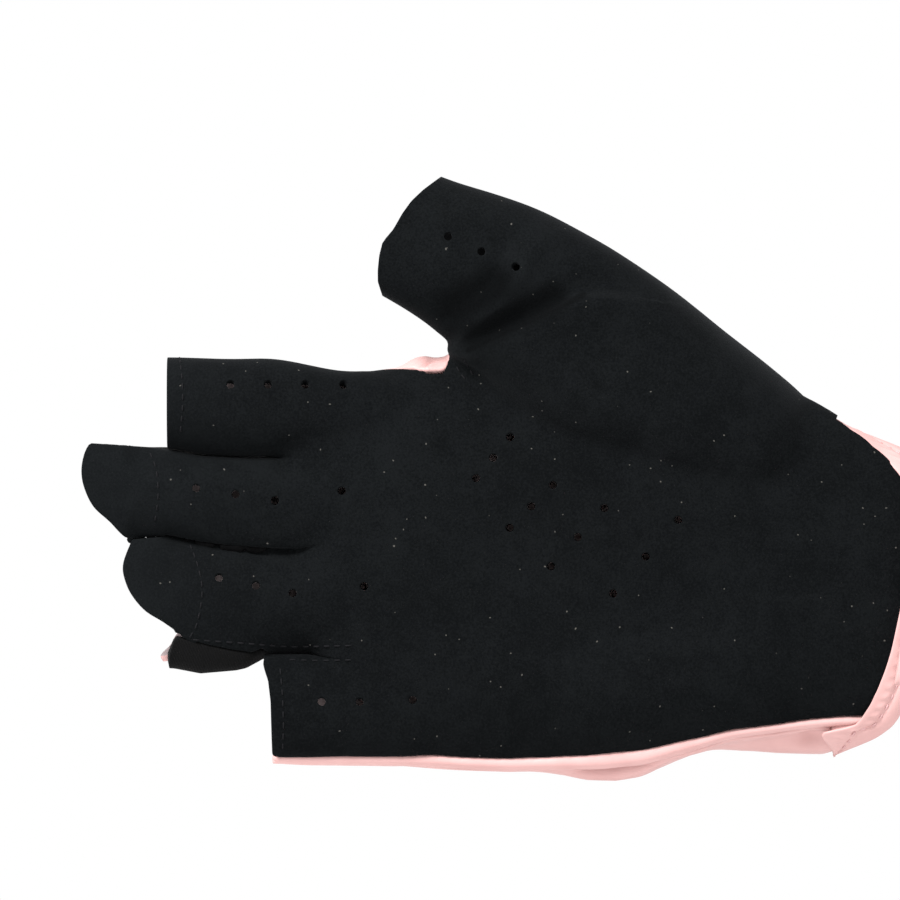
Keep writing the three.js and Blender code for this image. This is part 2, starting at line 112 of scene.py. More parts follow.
def make_lamp(name, place, size, power):
    data = bpy.data.lights.new(name, "AREA")
    data.shape = "DISK"
    data.size = size
    data.energy = power
    lamp = bpy.data.objects.new(name, data)
    lamp.location = place
    lamp.rotation_euler = (LAMP_AIM - Vector(place)).to_track_quat("-Z", "Y").to_euler()
    bpy.context.scene.collection.objects.link(lamp)


make_world(strength=1.0)
make_lamp("key_lamp", (-0.42, -0.38, 0.50), size=0.26, power=9.0)
make_lamp("side_lamp", (0.75, -0.65, 0.25), size=0.6, power=2.0)
bpy.context.scene.view_settings.view_transform = "Standard"
print("lamps:", len(bpy.data.lights))

# %% [markdown]
# ## The glove's sizes
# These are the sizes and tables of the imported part, in millimetres. Each row of a table is one
# cross-section: where it lies, where its two edges are and how deep it is, as shares of the sizes
# above the table. Repeating them here keeps the fine pieces exactly where the plain solids are.

# %% Sizes
# All in millimetres, except for the squareness of the sections and the power of their bow
PALM_LENGTH, PALM_BREADTH, PALM_DEPTH = 124.0, 78.0, 28.0
WRIST_BREADTH, WRIST_DEPTH = 58.0, 38.0
STALL_DEPTH = 17.4
THUMB_LENGTH, THUMB_BREADTH, THUMB_DEPTH = 92.0, 26.0, 23.0
SUEDE_WALL, STALL_GAP, HOLE_DIAMETER = 1.5, 0.7, 1.8
GUSSET_BREADTH, GUSSET_REACH = 10.4, 5.0
PIPING_BREADTH, PIPING_DEPTH, PIPING_SINK, PIPING_END = 3.2, 3.8, 0.45, 0.6
BAND_WALL, BAND_PROUD = 2.3, 0.5
STRAP_BREADTH, STRAP_WALL, STRAP_LIFT = 18.0, 2.0, 1.3
BODY_SQUARE, STALL_SQUARE, BOW_POWER = 2.35, 2.25, 6
OVERRUN = 6.0

# Along the palm, lean, bow, upper edge, lower edge, depth in front and behind
PALM_ROWS = [
    [0.965, -0.105, -0.040, 0.520, -0.405, 0.16, 0.18],
    [0.935, -0.105, -0.040, 0.543, -0.424, 0.29, 0.32],
    [0.870, -0.060, -0.020, 0.550, -0.430, 0.38, 0.41],
    [0.800, -0.030, 0.000, 0.594, -0.434, 0.43, 0.44],
    [0.745, -0.020, 0.000, 0.590, -0.437, 0.45, 0.46],
    [0.640, 0.000, 0.000, 0.558, -0.442, 0.48, 0.49],
    [0.540, 0.000, 0.000, 0.558, -0.464, 0.51, 0.51],
    [0.460, 0.000, 0.004, 0.556, -0.470, 0.54, 0.53],
    [0.385, 0.004, 0.016, 0.548, -0.442, 0.58, 0.55],
    [0.325, 0.015, 0.040, 0.536, -0.416, 0.61, 0.57],
    [0.255, 0.045, 0.085, 0.522, -0.408, 0.64, 0.60],
]
WRIST_ROWS = [
    [0.182, 0.072, 0.145, 0.585, -0.548, 0.49, 0.46],
    [0.108, 0.090, 0.124, 0.497, -0.545, 0.50, 0.47],
]
# Along a finger stall from its opening, breadth, curl, depth
STALL_ROWS = [
    [0.00, 0.985, -0.16, 0.98],
    [0.20, 1.010, -0.13, 0.99],
    [0.42, 1.000, -0.09, 1.01],
    [0.62, 0.980, -0.05, 1.04],
    [0.82, 0.950, -0.02, 1.02],
    [1.00, 0.880, 0.00, 0.92],
]
# Along the thumb from its opening, upper edge, lower edge, bow, forward, depth in front and behind
THUMB_ROWS = [
    [0.00, 0.500, -0.500, -0.13, -0.26, 0.48, 0.48],
    [0.12, 0.555, -0.540, -0.06, -0.26, 0.50, 0.50],
    [0.24, 0.605, -0.660, 0.00, -0.26, 0.53, 0.52],
    [0.36, 0.595, -0.800, 0.00, -0.25, 0.58, 0.52],
    [0.50, 0.560, -0.860, 0.00, -0.22, 0.64, 0.53],
    [0.62, 0.505, -0.800, 0.00, -0.18, 0.70, 0.54],
    [0.74, 0.415, -0.780, 0.00, -0.13, 0.74, 0.55],
    [0.86, 0.330, -0.760, 0.00, -0.08, 0.74, 0.55],
    [1.00, 0.130, -0.640, 0.00, 0.00, 0.56, 0.46],
]

# %% Where the stalls and the thumb stand
ROOT = -0.78 * PALM_LENGTH
BREADTHS = {"index": 17.4, "middle": 17.0, "ring": 23.0, "little": 20.4}


def make_stall(name, length, centre, splay, taper):
    return dict(length=length, breadth=BREADTHS[name], centre=centre, splay=splay, taper=taper,
                opening=ROOT - length)


def apart(first, second):
    """How far the middles of two neighbouring stalls are apart."""
    return (BREADTHS[first] + BREADTHS[second]) / 2


ring_centre = -0.015 * PALM_BREADTH
middle_centre = ring_centre + apart("ring", "middle") + STALL_GAP
index_centre = middle_centre + apart("middle", "index") + STALL_GAP
little_centre = ring_centre - apart("ring", "little") - STALL_GAP
STALLS = {
    "index": make_stall("index", 52.4, index_centre, splay=0.055, taper=0.02),
    "middle": make_stall("middle", 58.4, middle_centre, splay=0.07, taper=0.06),
    "ring": make_stall("ring", 51.4, ring_centre, splay=0.015, taper=-0.14),
    "little": make_stall("little", 32.2, little_centre, splay=0.0, taper=0.02),
}
PAIRS = [("index", "middle"), ("middle", "ring"), ("ring", "little")]

THUMB_ANGLE = math.radians(27)
THUMB_TIP = np.array([-0.821 * PALM_LENGTH, 0.895 * PALM_BREADTH])
THUMB_LINE = np.array([math.cos(THUMB_ANGLE), -math.sin(THUMB_ANGLE)])
THUMB_ACROSS = np.array([math.sin(THUMB_ANGLE), math.cos(THUMB_ANGLE)])
print("stalls open at x:", {name: round(stall["opening"], 1) for name, stall in STALLS.items()})

# %% [markdown]
# ## Cross-sections and lofts
# A section is a rounded box: a chord from the thumb side edge to the little finger side edge,
# with a depth to the palm and to the back. The part joins them with straight facets. Cloth has
# none, so here a smooth curve without overshoot runs through the same sections.

# %% Sections
# The columns of a section. The first four are the places of its upper and lower edges.
UPPER_X, UPPER_Z, LOWER_X, LOWER_Z, BOW, MIDDLE_Y, FRONT, BACK, SQUARE = range(9)


def body_section(row, breadth, depth):
    along, lean, bow, upper, lower, front, back = row
    x, half_lean = -along * PALM_LENGTH, lean * PALM_LENGTH / 2
    return [x + half_lean, upper * breadth, x - half_lean, lower * breadth, bow * PALM_LENGTH, 0.0,
            front * depth, back * depth, BODY_SQUARE]


def stall_section(stall, along, breadth, curl, depth):
    x = stall["opening"] + stall["length"] * along
    z = stall["centre"] - stall["splay"] * (x - stall["opening"])
    half = (breadth + stall["taper"] * along) * stall["breadth"] / 2
    reach = depth * STALL_DEPTH / 2
    return [x, z + half, x, z - half, 0.0, curl * STALL_DEPTH, reach, reach, STALL_SQUARE]


def thumb_section(row):
    along, upper, lower, bow, forward, front, back = row
    middle = THUMB_TIP + THUMB_LINE * along * THUMB_LENGTH
    high, low = (middle + THUMB_ACROSS * edge * THUMB_BREADTH for edge in (upper, lower))
    return [*high, *low, bow * THUMB_BREADTH, forward * THUMB_DEPTH, front * THUMB_DEPTH,
            back * THUMB_DEPTH, STALL_SQUARE]


def shifted(section, step_x, step_z=0.0):
    moved = np.array(section, float)
    moved[[UPPER_X, LOWER_X]] += step_x
    moved[[UPPER_Z, LOWER_Z]] += step_z
    return moved


PALM_SECTIONS = np.array([body_section(row, PALM_BREADTH, PALM_DEPTH) for row in PALM_ROWS])
HEEL, RIM = (np.array(body_section(row, WRIST_BREADTH, WRIST_DEPTH)) for row in WRIST_ROWS)
THUMB_SECTIONS = np.array([thumb_section(row) for row in THUMB_ROWS])
STALL_SECTIONS = {
    name: np.array([stall_section(stall, *row) for row in STALL_ROWS]) for name, stall in STALLS.items()
}

# %% Curves through tables
def follow(table, at, column=1):
    """Straight lines through a table whose first column says where its rows lie."""
    return np.interp(at, table[:, 0], table[:, column])


def bell(distance, reach):
    return np.exp(-(distance / reach) ** 2)


def step_up(value, low, high):
    t = np.clip((value - low) / (high - low), 0, 1)
    return t * t * (3 - 2 * t)


def run_lengths(path):
    """How far along a path each of its points lies."""
    return np.concatenate([[0], np.cumsum(np.linalg.norm(np.diff(path, axis=0), axis=1))])


def curve_shares(t):
    """Shares of the first point, the first slope and the second slope at t on a smooth curve."""
    return 2 * t**3 - 3 * t**2 + 1, t**3 - 2 * t**2 + t, t**3 - t**2


def eased(keys, values, at):
    """A smooth curve through values, which never swings beyond them."""
    keys, values, at = (np.asarray(a, float) for a in (keys, values, at))
    gap = np.diff(keys)
    slope = np.diff(values, axis=0) / gap[:, None]
    product = slope[:-1] * slope[1:]
    total = slope[:-1] + slope[1:]
    inner = np.where(product > 0, 2 * product / np.where(total == 0, 1, total), 0)
    tangent = np.vstack([slope[:1], inner, slope[-1:]])
    i = np.clip(np.searchsorted(keys, at, side="right") - 1, 0, len(keys) - 2)
    first, leaving, arriving = curve_shares(((at - keys[i]) / gap[i])[:, None])
    return (first * values[i] + (1 - first) * values[i + 1]
            + (leaving * tangent[i] + arriving * tangent[i + 1]) * gap[i][:, None])


def smooth_sections(sections, pitch):
    middles = (sections[:, [UPPER_X, UPPER_Z]] + sections[:, [LOWER_X, LOWER_Z]]) / 2
    keys = run_lengths(middles)
    return eased(keys, sections, np.linspace(0, keys[-1], max(2, round(keys[-1] / pitch))))


def full_turn(sides, start=0):
    return 2 * np.pi * (np.arange(sides) + start) / sides


def ring_points(section, angles, inset=0.0):
    """Points round a section, pulled in by inset."""
    ux, uz, lx, lz, bow, y, front, back, square = section
    c, s = np.cos(angles), np.sin(angles)
    across = np.sign(c) * np.abs(c) ** (2 / square)
    depth = np.sign(s) * np.abs(s) ** (2 / square)
    half = np.array([ux - lx, uz - lz]) / 2
    half = half * (1 - inset / np.linalg.norm(half))
    reach = np.where(depth < 0, front, back) - inset
    x = (ux + lx) / 2 + half[0] * across + bow * (1 - np.abs(across) ** BOW_POWER)
    return np.stack([x, y + reach * depth, (uz + lz) / 2 + half[1] * across], axis=1)


# %% [markdown]
# ## One skin for the whole glove
# The hand, the four stalls and the thumb are separate lofts, but leather runs over all of them
# without a step. We join them with a voxel remesh, then relax only the hollow creases, which
# leaves soft webs between the fingers. The stalls nearly touch, and voxels would weld them, so
# the fingers are spread by a few millimetres first and closed again afterwards.

# %% Spreading and closing the fingers
def gap_line(pair, x):
    lower = STALLS[pair[1]]
    return lower["centre"] + lower["breadth"] / 2 + STALL_GAP / 2 - lower["splay"] * (x - lower["opening"])


# How far neighbours are spread, and where along the hand the spread begins and is full
SPREAD, SPREAD_SPAN = 2.2, (97.0, 114.0)


def spread_fingers(points, close=False):
    x, z = points[:, 0], points[:, 2]
    amount = SPREAD * step_up(-x, *SPREAD_SPAN)
    share = np.zeros(len(points))
    for i, pair in enumerate(PAIRS):
        below = (1 - i) * amount - amount / 2
        low = gap_line(pair, x) - STALL_GAP / 2
        room = np.full(len(points), STALL_GAP)
        if close:
            low, room = low + below, room + amount
        share += np.clip((z - low) / room, 0, 1)
    offset = amount * (share - 1.5)
    moved = points.copy()
    moved[:, 2] += -offset if close else offset
    return moved


# %% Neighbouring fingers press together
# The ring finger's knit side hangs free beyond the little finger's opening, so it bellies out:
# x and how far, in millimetres
FREE_SIDE = np.array([
    [-150.0, 1.6], [-148.0, 1.8], [-143.0, 2.8], [-136.0, 2.2], [-130.4, 1.0], [-128.5, 0.0],
])
# Where the line between two fingers wanders off its straight course: x and the step along z
GAP_STEPS = {
    "index": np.array([[-149.0, 0.25], [-143.0, -0.5], [-133.0, -0.35], [-123.5, 0.5], [-115.0, 0.0]]),
    "middle": np.array([[-156.0, -0.4], [-152.4, 0.1], [-149.4, 0.9], [-146.3, 0.3], [-142.9, -0.3],
                        [-138.0, -0.9], [-131.0, -1.3], [-124.0, -1.3], [-115.0, 0.0]]),
    "ring": np.array([[-134.0, 0.0], [-130.5, 1.2], [-122.0, 1.2], [-113.0, 0.0]]),
}
# How far from the wrist each pair of neighbours begins to touch and is in full touch
TOUCHES = {"index": (124.5, 130.0), "middle": (117.0, 123.0), "ring": (112.0, 119.0)}
PRESS_REACH, TONGUE_REACH = 4.5, 2.4
PRESS, TONGUE_PRESS, LEAST_GAP = 0.9, 0.7, 0.08
LEAN, RING_SPLIT = 0.45, 0.6
# Where along the hand, from the wrist, the stalls, the tongues and the ring finger's split begin
# and are in full effect, and where the split ends
STALLS_SPAN, TONGUES_SPAN = (104.0, 116.0), (149.0, 154.0)
SPLIT_SPAN, SPLIT_END = (118.0, 124.0), (130.0, 134.0)


def press_fingers(points):
    """Closes the gaps between the stalls. The last pair, ring and little, also splits in depth."""
    x, y, z = points.T
    moved = points.copy()
    on_stalls, on_tongues = step_up(-x, *STALLS_SPAN), step_up(-x, *TONGUES_SPAN)
    for pair in PAIRS:
        away = z - gap_line(pair, x)
        near = bell(away, PRESS_REACH)
        close_by = near + (bell(away, TONGUE_REACH) - near) * on_tongues
        room = np.maximum(np.abs(away) - LEAST_GAP, 0)
        reach = np.minimum((PRESS + TONGUE_PRESS * on_tongues) * close_by, room)
        reach *= step_up(-x, *TOUCHES[pair[0]])
        lean = LEAN * np.clip((y + 2) / 5, -1, 1) * near
        wander = follow(GAP_STEPS[pair[0]], x) * near
        moved[:, 2] += (wander + lean * (1 - on_tongues) - np.sign(away) * reach) * on_stalls
    split = step_up(-x, *SPLIT_SPAN) * (1 - step_up(-x, *SPLIT_END)) * near
    moved[:, 1] += np.where(away > 0, RING_SPLIT, -RING_SPLIT) * split
    moved[:, 2] -= follow(FREE_SIDE, x) * (away > 0) * near
    return moved


# %% The seam's course and the outline
# Where the seam between palm and back runs, as shares of the palm's length and depth: how far
# along, and its depth on the little finger's side and on the thumb's
SEAM_ROWS = np.array([
    [-0.30, -0.42, 0.02],
    [0.15, -0.42, 0.02],
    [0.30, -0.34, 0.00],
    [0.46, -0.25, -0.08],
    [0.60, -0.18, -0.15],
    [0.750, -0.145, -0.10],
    [0.768, -0.143, -0.22],
    [0.795, -0.145, -0.215],
    [0.825, -0.15, -0.13],
    [0.850, -0.155, -0.02],
    [0.89, -0.18, 0.02],
    [2.00, -0.20, 0.02],
])


def seam_height(x, z):
    little_side, thumb_side = (follow(SEAM_ROWS, -x / PALM_LENGTH, k) for k in (1, 2))
    t = np.clip(z / PALM_BREADTH + 0.5, 0, 1)
    return PALM_DEPTH * (little_side + (thumb_side - little_side) * t)


# Small corrections of the outline: x and z of a place, how far it moves, and the reach, in mm
NUDGES = np.array([
    [-93.8, 49.4, 1.2, 0.0, 2.4],
    [-93.8, 45.2, -3.4, 0.0, 3.8],
    [-103.9, 45.0, 0.0, -1.5, 3.0],
    [-129.0, 45.5, 0.0, 0.6, 6.0],
    [-115.0, 44.5, 0.0, -0.8, 6.5],
    [-82.0, 75.0, 0.1, 0.4, 9.0],
    [-65.0, 67.0, 0.1, 0.3, 8.0],
    [-44.0, 51.0, -0.3, -0.6, 10.0],
    [-30.0, 41.5, -0.3, -0.5, 7.0],
])
# The little finger's side: x, how far the seam and the outermost leather are lifted, in mm
SIDE_ROWS = np.array([
    [-131.0, 0.0, 0.0], [-123.5, 0.0, 0.0], [-115.7, -0.2, -0.1], [-103.9, -0.8, -0.4], [-96.0, -1.1, -0.7],
    [-82.4, -1.3, -0.8], [-75.5, -0.7, -0.5], [-71.6, 0.0, -0.4], [-67.0, 0.6, -0.7], [-61.6, 1.1, -0.5],
    [-56.9, 1.3, 0.4], [-53.5, 1.2, 1.4], [-50.4, 1.0, 1.8], [-47.0, 0.7, 2.1], [-43.7, 0.35, 1.8],
    [-37.0, 0.2, 0.7], [-30.0, 0.35, 0.2], [-23.7, 1.1, 0.0], [-17.3, 1.6, 0.0], [-13.0, 1.5, 0.0],
    [0.0, 0.5, 0.0], [20.0, 0.0, 0.0],
])


def side_lift(x, y, z):
    seam_y = seam_height(x, z)
    seam, outer = (follow(SIDE_ROWS, x, k) for k in (1, 2))
    return (seam + (outer - seam) * step_up(y - seam_y, 1.0, 5.0)) * step_up(-z, 16, 27)


def nudge(points):
    moved = points.copy()
    x, z = points[:, 0], points[:, 2]
    for place_x, place_z, step_x, step_z, reach in NUDGES:
        near = np.exp(-((x - place_x) ** 2 + (z - place_z) ** 2) / reach**2)
        moved[:, 0] += step_x * near
        moved[:, 2] += step_z * near
    moved[:, 2] += side_lift(x, points[:, 1], z)
    return moved


# %% Folds of the worn palm
# Start along and up, end along and up, breadth and height, as shares of the palm's sizes
FOLD_ROWS = [
    [0.560, 0.690, 0.420, 0.740, 0.060, 0.008],
    [0.690, 0.060, 0.380, -0.010, 0.200, -0.030],
    [0.480, 0.400, 0.300, 0.270, 0.150, 0.018],
    [0.500, -0.290, 0.300, -0.240, 0.120, 0.014],
]


def to_segment(x, z, start, end):
    """Steps along x and z from the nearest place of a segment, and how far along it that lies."""
    run = np.subtract(end, start)
    t = np.clip(((x - start[0]) * run[0] + (z - start[1]) * run[1]) / (run @ run), 0, 1)
    return x - start[0] - t * run[0], z - start[1] - t * run[1], t


def fold_lift(x, z):
    lift = np.zeros(len(x))
    for along, height, to_along, to_height, spread, rise in FOLD_ROWS:
        start = (-along * PALM_LENGTH, height * PALM_BREADTH)
        end = (-to_along * PALM_LENGTH, to_height * PALM_BREADTH)
        dx, dz, _ = to_segment(x, z, start, end)
        lift += rise * PALM_BREADTH * np.exp(-(dx**2 + dz**2) / (spread * PALM_BREADTH) ** 2)
    return lift


# %% Lofts
LOFT_PITCH = 1.2


def tube_faces(count, sides):
    """Faces of a closed tube: count rings of as many sides, and a face at both ends."""
    faces = []
    for i in range(count - 1):
        for j in range(sides):
            a, b = i * sides + j, i * sides + (j + 1) % sides
            faces.append((a, b, b + sides, a + sides))
    faces.append(tuple(reversed(range(sides))))
    faces.append(tuple(range((count - 1) * sides, count * sides)))
    return faces


def loft(sections, sides):
    angles = full_turn(sides, 0.5)
    rings = []
    for section in smooth_sections(np.array(sections), LOFT_PITCH):
        ring = ring_points(section, angles)
        reach = np.clip((section[MIDDLE_Y] - ring[:, 1]) / section[FRONT], 0, 1)
        ring[:, 1] -= fold_lift(ring[:, 0], ring[:, 2]) * np.minimum(1, 1.5 * reach)
        rings.append(ring)
    return spread_fingers(np.concatenate(rings)), tube_faces(len(rings), sides)


def tongue_rows(stall, widths):
    rows = []
    for out, breadth, square in widths:
        section = stall_section(stall, -out / stall["length"], breadth, *STALL_ROWS[0][2:])
        section[SQUARE] = square
        rows.append(section)
    return rows


# The stall beyond its opening, from which a tongue is cut: how far out, breadth and squareness
TONGUES = {
    "middle": [(14, 1.16, 3.6), (9, 1.16, 3.4), (3, 1.12, 3.0)],
    "ring": [(14, 1.02, 4.0), (9, 1.02, 3.8), (3, 1.00, 3.0)],
}
beyond_thumb = shifted(THUMB_SECTIONS[0], *(-1.3 * OVERRUN * THUMB_LINE))
lofts = [
    loft([*PALM_SECTIONS, HEEL, shifted(HEEL, OVERRUN)], sides=168),
    loft([beyond_thumb, *THUMB_SECTIONS], sides=96),
]
for name, stall in STALLS.items():
    if name in TONGUES:
        beyond = tongue_rows(stall, TONGUES[name])
    else:
        beyond = [shifted(STALL_SECTIONS[name][0], -OVERRUN)]
    lofts.append(loft([*beyond, *STALL_SECTIONS[name]], sides=80))
print("lofts:", len(lofts), "with", sum(len(points) for points, faces in lofts), "points")

# %% Join the lofts
VOXEL = 0.66


def remeshed(parts, voxel):
    mesh = bpy.data.meshes.new("rough_skin")
    points = np.concatenate([part_points for part_points, _ in parts])
    faces, start = [], 0
    for part_points, part_faces in parts:
        faces += [tuple(i + start for i in face) for face in part_faces]
        start += len(part_points)
    mesh.from_pydata(points.tolist(), [], faces)
    rough = bpy.data.objects.new("rough_skin", mesh)
    bpy.context.scene.collection.objects.link(rough)
    remesh = rough.modifiers.new("remesh", "REMESH")
    remesh.mode = "VOXEL"
    remesh.voxel_size = voxel
    done = bpy.data.meshes.new_from_object(rough.evaluated_get(bpy.context.evaluated_depsgraph_get()))
    bpy.data.objects.remove(rough)
    return done


def read_rows(items, title, width, kind=float):
    flat = np.empty(width * len(items), kind)
    items.foreach_get(title, flat)
    return flat.reshape(-1, width)


def mesh_points(mesh):
    return read_rows(mesh.vertices, "co", 3)


def mesh_edges(mesh):
    return read_rows(mesh.edges, "vertices", 2, int)


def mesh_normals(mesh):
    return read_rows(mesh.vertex_normals, "vector", 3)


def set_points(mesh, points):
    mesh.vertices.foreach_set("co", points.ravel())
    mesh.update()


skin = remeshed(lofts, VOXEL)
print("skin:", len(skin.vertices), "points,", len(skin.polygons), "faces")

# %% Relax the creases
# How hollow a place has to be, in millimetres, before it is relaxed at all and in full
HOLLOW_FROM, HOLLOW_SPAN = 0.02, 0.05
# The relaxed places are widened a little in each of these rounds
WIDEN_ROUNDS, WIDEN_SHARE = 9, 1.12
RELAX_PULL = 0.6
# A pull together and a slightly larger push apart take out the voxels' steps and keep the size
EVEN_ROUNDS, EVEN_PULLS = 3, (0.5, -0.53)


def neighbour_mean(values, edges, count):
    """The mean of each point's neighbours. count says how many it has."""
    a, b = edges[:, 0], edges[:, 1]
    total = np.empty_like(values)
    for k in range(values.shape[1]):
        total[:, k] = (np.bincount(a, values[b, k], len(values))
                       + np.bincount(b, values[a, k], len(values)))
    return total / count[:, None]


def relax_creases(mesh, rounds):
    """Smooths the hollows alone, then evens the voxels' steps without shrinking the skin."""
    points, edges = mesh_points(mesh), mesh_edges(mesh)
    count = np.bincount(edges.ravel(), minlength=len(points)).astype(float)
    hollow = ((neighbour_mean(points, edges, count) - points) * mesh_normals(mesh)).sum(axis=1)
    mask = np.clip((hollow - HOLLOW_FROM) / HOLLOW_SPAN, 0, 1)[:, None]
    for _ in range(WIDEN_ROUNDS):
        mask = np.clip(WIDEN_SHARE * np.maximum(mask, neighbour_mean(mask, edges, count)), 0, 1)
    for _ in range(rounds):
        points += RELAX_PULL * mask * (neighbour_mean(points, edges, count) - points)
    for _ in range(EVEN_ROUNDS):
        for pull in EVEN_PULLS:
            points += pull * (neighbour_mean(points, edges, count) - points)
    return points


skin_points = nudge(spread_fingers(relax_creases(skin, rounds=50), close=True))
set_points(skin, skin_points)
print("skin reaches", np.round(skin_points.min(axis=0), 1), "to", np.round(skin_points.max(axis=0), 1))

# %% [markdown]
# ## Sharper creases and the air holes
# Where the thumb folds in, the suede buckles into a few narrow creases: a valley with a lip
# beside it. They are pushed into the skin along its own outward direction. The mesh is then made
# finer just around each air hole, so that the punched holes come out round.

# %% Creases
# A crease runs through its points, x and z. Its profile gives the height at distances across it,
# towards the fingers and thumb where they are above zero. All are in millimetres.
CREASES = [
    ([(-94.5, 46.0), (-90.8, 47.3), (-86.3, 48.9), (-81.0, 51.4), (-76.1, 54.1), (-72.2, 56.5),
      (-68.0, 58.1), (-62.7, 58.3), (-57.0, 57.5)],
     [(-9.0, 0.0), (-5.0, 0.5), (-2.2, 1.0), (-0.9, 0.9), (0.9, -1.6), (1.8, -2.0), (3.4, -1.5),
      (5.4, -0.4), (8.0, 0.0)]),
    ([(-93.0, 48.6), (-87.3, 53.2), (-83.3, 56.9), (-80.7, 60.6), (-78.9, 65.0), (-75.2, 69.0)],
     [(-6.0, 0.0), (-2.6, 0.3), (0.0, 1.2), (2.4, 0.0), (5.0, -1.2), (9.0, -0.5), (13.0, 0.0)]),
    ([(-78.4, -10.4), (-66.7, -11.6), (-56.9, -9.4), (-44.0, -6.5), (-33.3, -2.5)],
     [(-11.0, 0.0), (-4.0, 0.25), (1.5, -0.40), (9.0, 0.0)]),
    ([(-70.6, 12.0), (-62.0, 20.0), (-55.0, 30.0), (-52.0, 42.0)],
     [(-11.0, 0.0), (-4.0, 0.30), (1.5, -0.45), (9.0, 0.0)]),
]
CREASE_BLUR = (-0.5, -0.25, 0, 0.25, 0.5)


def near_path(x, z, path):
    """Distance to a path, with a sign for its two sides, and how far along it, from 0 to 1."""
    best = np.full(len(x), 1e9)
    side, place = np.zeros(len(x)), np.zeros(len(x))
    for i in range(len(path) - 1):
        dx, dz, t = to_segment(x, z, path[i], path[i + 1])
        run = np.subtract(path[i + 1], path[i])
        distance = np.hypot(dx, dz)
        closer = distance < best
        side = np.where(closer, np.sign(run[0] * dz - run[1] * dx) * distance, side)
        place = np.where(closer, (i + t) / (len(path) - 1), place)
        best = np.minimum(best, distance)
    return side, place


def crease_lift(x, z):
    lift = np.zeros(len(x))
    for path, profile in CREASES:
        side, place = near_path(x, z, path)
        across, height = np.array(profile).T
        fade = np.sin(np.pi * np.clip(0.10 + 0.85 * place, 0, 1)) ** 0.7
        softened = sum(np.interp(side + step, across, height) for step in CREASE_BLUR)
        lift += fade * softened / len(CREASE_BLUR)
    return lift


normals = mesh_normals(skin)
facing_front = np.clip(-normals[:, 1] * 1.6 - 0.2, 0, 1)
lift = crease_lift(skin_points[:, 0], skin_points[:, 2]) * facing_front
skin_points = skin_points + normals * lift[:, None]
set_points(skin, skin_points)
print("deepest crease:", round(float(-lift.min()), 2), "mm")
print("highest lip:", round(float(lift.max()), 2), "mm")

# %% Air holes
# Each row of holes: its first hole along and up, the steps to the next, as shares of the palm's
# length and breadth, and how many there are
HOLE_ROWS = [
    [1.105, 0.522, -0.059, 0.000, 3],
    [0.927, 0.522, 0.000, 0.000, 1],
    [1.159, 0.262, -0.062, -0.015, 3],
    [0.930, 0.256, 0.000, 0.000, 1],
    [1.123, 0.038, -0.058, -0.020, 3],
    [0.895, 0.015, 0.000, 0.000, 1],
    [0.961, -0.274, -0.060, 0.000, 2],
    [0.818, -0.271, 0.000, 0.000, 1],
    [0.762, 0.892, -0.053, -0.038, 3],
    [0.664, 0.390, 0.027, -0.052, 3],
    [0.597, 0.269, 0.034, -0.054, 3],
    [0.516, 0.211, 0.042, -0.073, 3],
    [0.400, 0.181, 0.051, -0.092, 3],
]
HOLES = np.array([
    (-(along + i * step_along) * PALM_LENGTH, (height + i * step_height) * PALM_BREADTH)
    for along, height, step_along, step_height, count in HOLE_ROWS for i in range(count)
])


def hole_distance(points):
    flat = points[:, [0, 2]]
    best = np.full(len(points), 1e9)
    for hole in HOLES:
        best = np.minimum(best, np.linalg.norm(flat - hole, axis=1))
    return best


# How far around each hole the mesh is made finer, in millimetres
FINE_MARGIN = 0.75


def refine_around_holes(mesh):
    work = bmesh.new()
    work.from_mesh(mesh)
    work.verts.ensure_lookup_table()
    points, outward = mesh_points(mesh), mesh_normals(mesh)
    near = (hole_distance(points) < HOLE_DIAMETER / 2 + FINE_MARGIN) & (outward[:, 1] < 0)
    edges = [edge for edge in work.edges if near[edge.verts[0].index] and near[edge.verts[1].index]]
    bmesh.ops.subdivide_edges(work, edges=edges, cuts=3, use_grid_fill=True)
    work.to_mesh(mesh)
    work.free()


refine_around_holes(skin)
print("holes:", len(HOLES), "- skin now has", len(skin.polygons), "faces")

# %% [markdown]
# ## Cutting the skin into panels
# A real glove is cut flat and sewn. Here the panels are cut out of the finished skin instead:
# each panel is the place where its own distance function is above zero, and the cut follows that
# zero line exactly. This keeps neighbouring panels a seam's breadth apart everywhere.

# %% Cut lines
# Where the thumb's suede meets the pink back: along and up, as shares of the palm's sizes
WEB_ROWS = np.array([
    [-0.20, 0.300], [0.35, 0.400], [0.62, 0.500], [0.76, 0.600], [0.86, 0.635], [1.10, 0.72],
])


def web_height(x):
    return PALM_BREADTH * follow(WEB_ROWS, -x / PALM_LENGTH)


def section_edge(section, z):
    """Where a section lies along x, at a height z."""
    ux, uz, lx, lz, bow = section[:5]
    across = np.clip((z - (uz + lz) / 2) / ((uz - lz) / 2), -1, 1)
    return (ux + lx) / 2 + (ux - lx) / 2 * across + bow * (1 - np.abs(across) ** BOW_POWER)


def stall_value(x, z, values):
    """Each stall's own value, at points that lie on the stalls."""
    index, middle, ring, little = values
    found = np.zeros(len(x)) + little
    for pair, value in zip(reversed(PAIRS), (ring, middle, index)):
        found = np.where(z > gap_line(pair, x), value, found)
    return found


def is_thumb(x, z):
    """True above a line that starts level and climbs towards the wrist."""
    return z > 50 + 0.5 * np.maximum(x + 92, 0)


# The thumb's opening hangs in a curve: z and x in millimetres, from its lower corner up
THUMB_MOUTH = np.array([
    [56.0, -106.4], [58.1, -107.4], [60.6, -108.2], [62.9, -108.2], [65.7, -107.9], [68.4, -107.2],
    [70.9, -105.1], [74.1, -103.3], [76.5, -101.6], [78.8, -99.2], [81.4, -95.8], [83.0, -94.0],
])
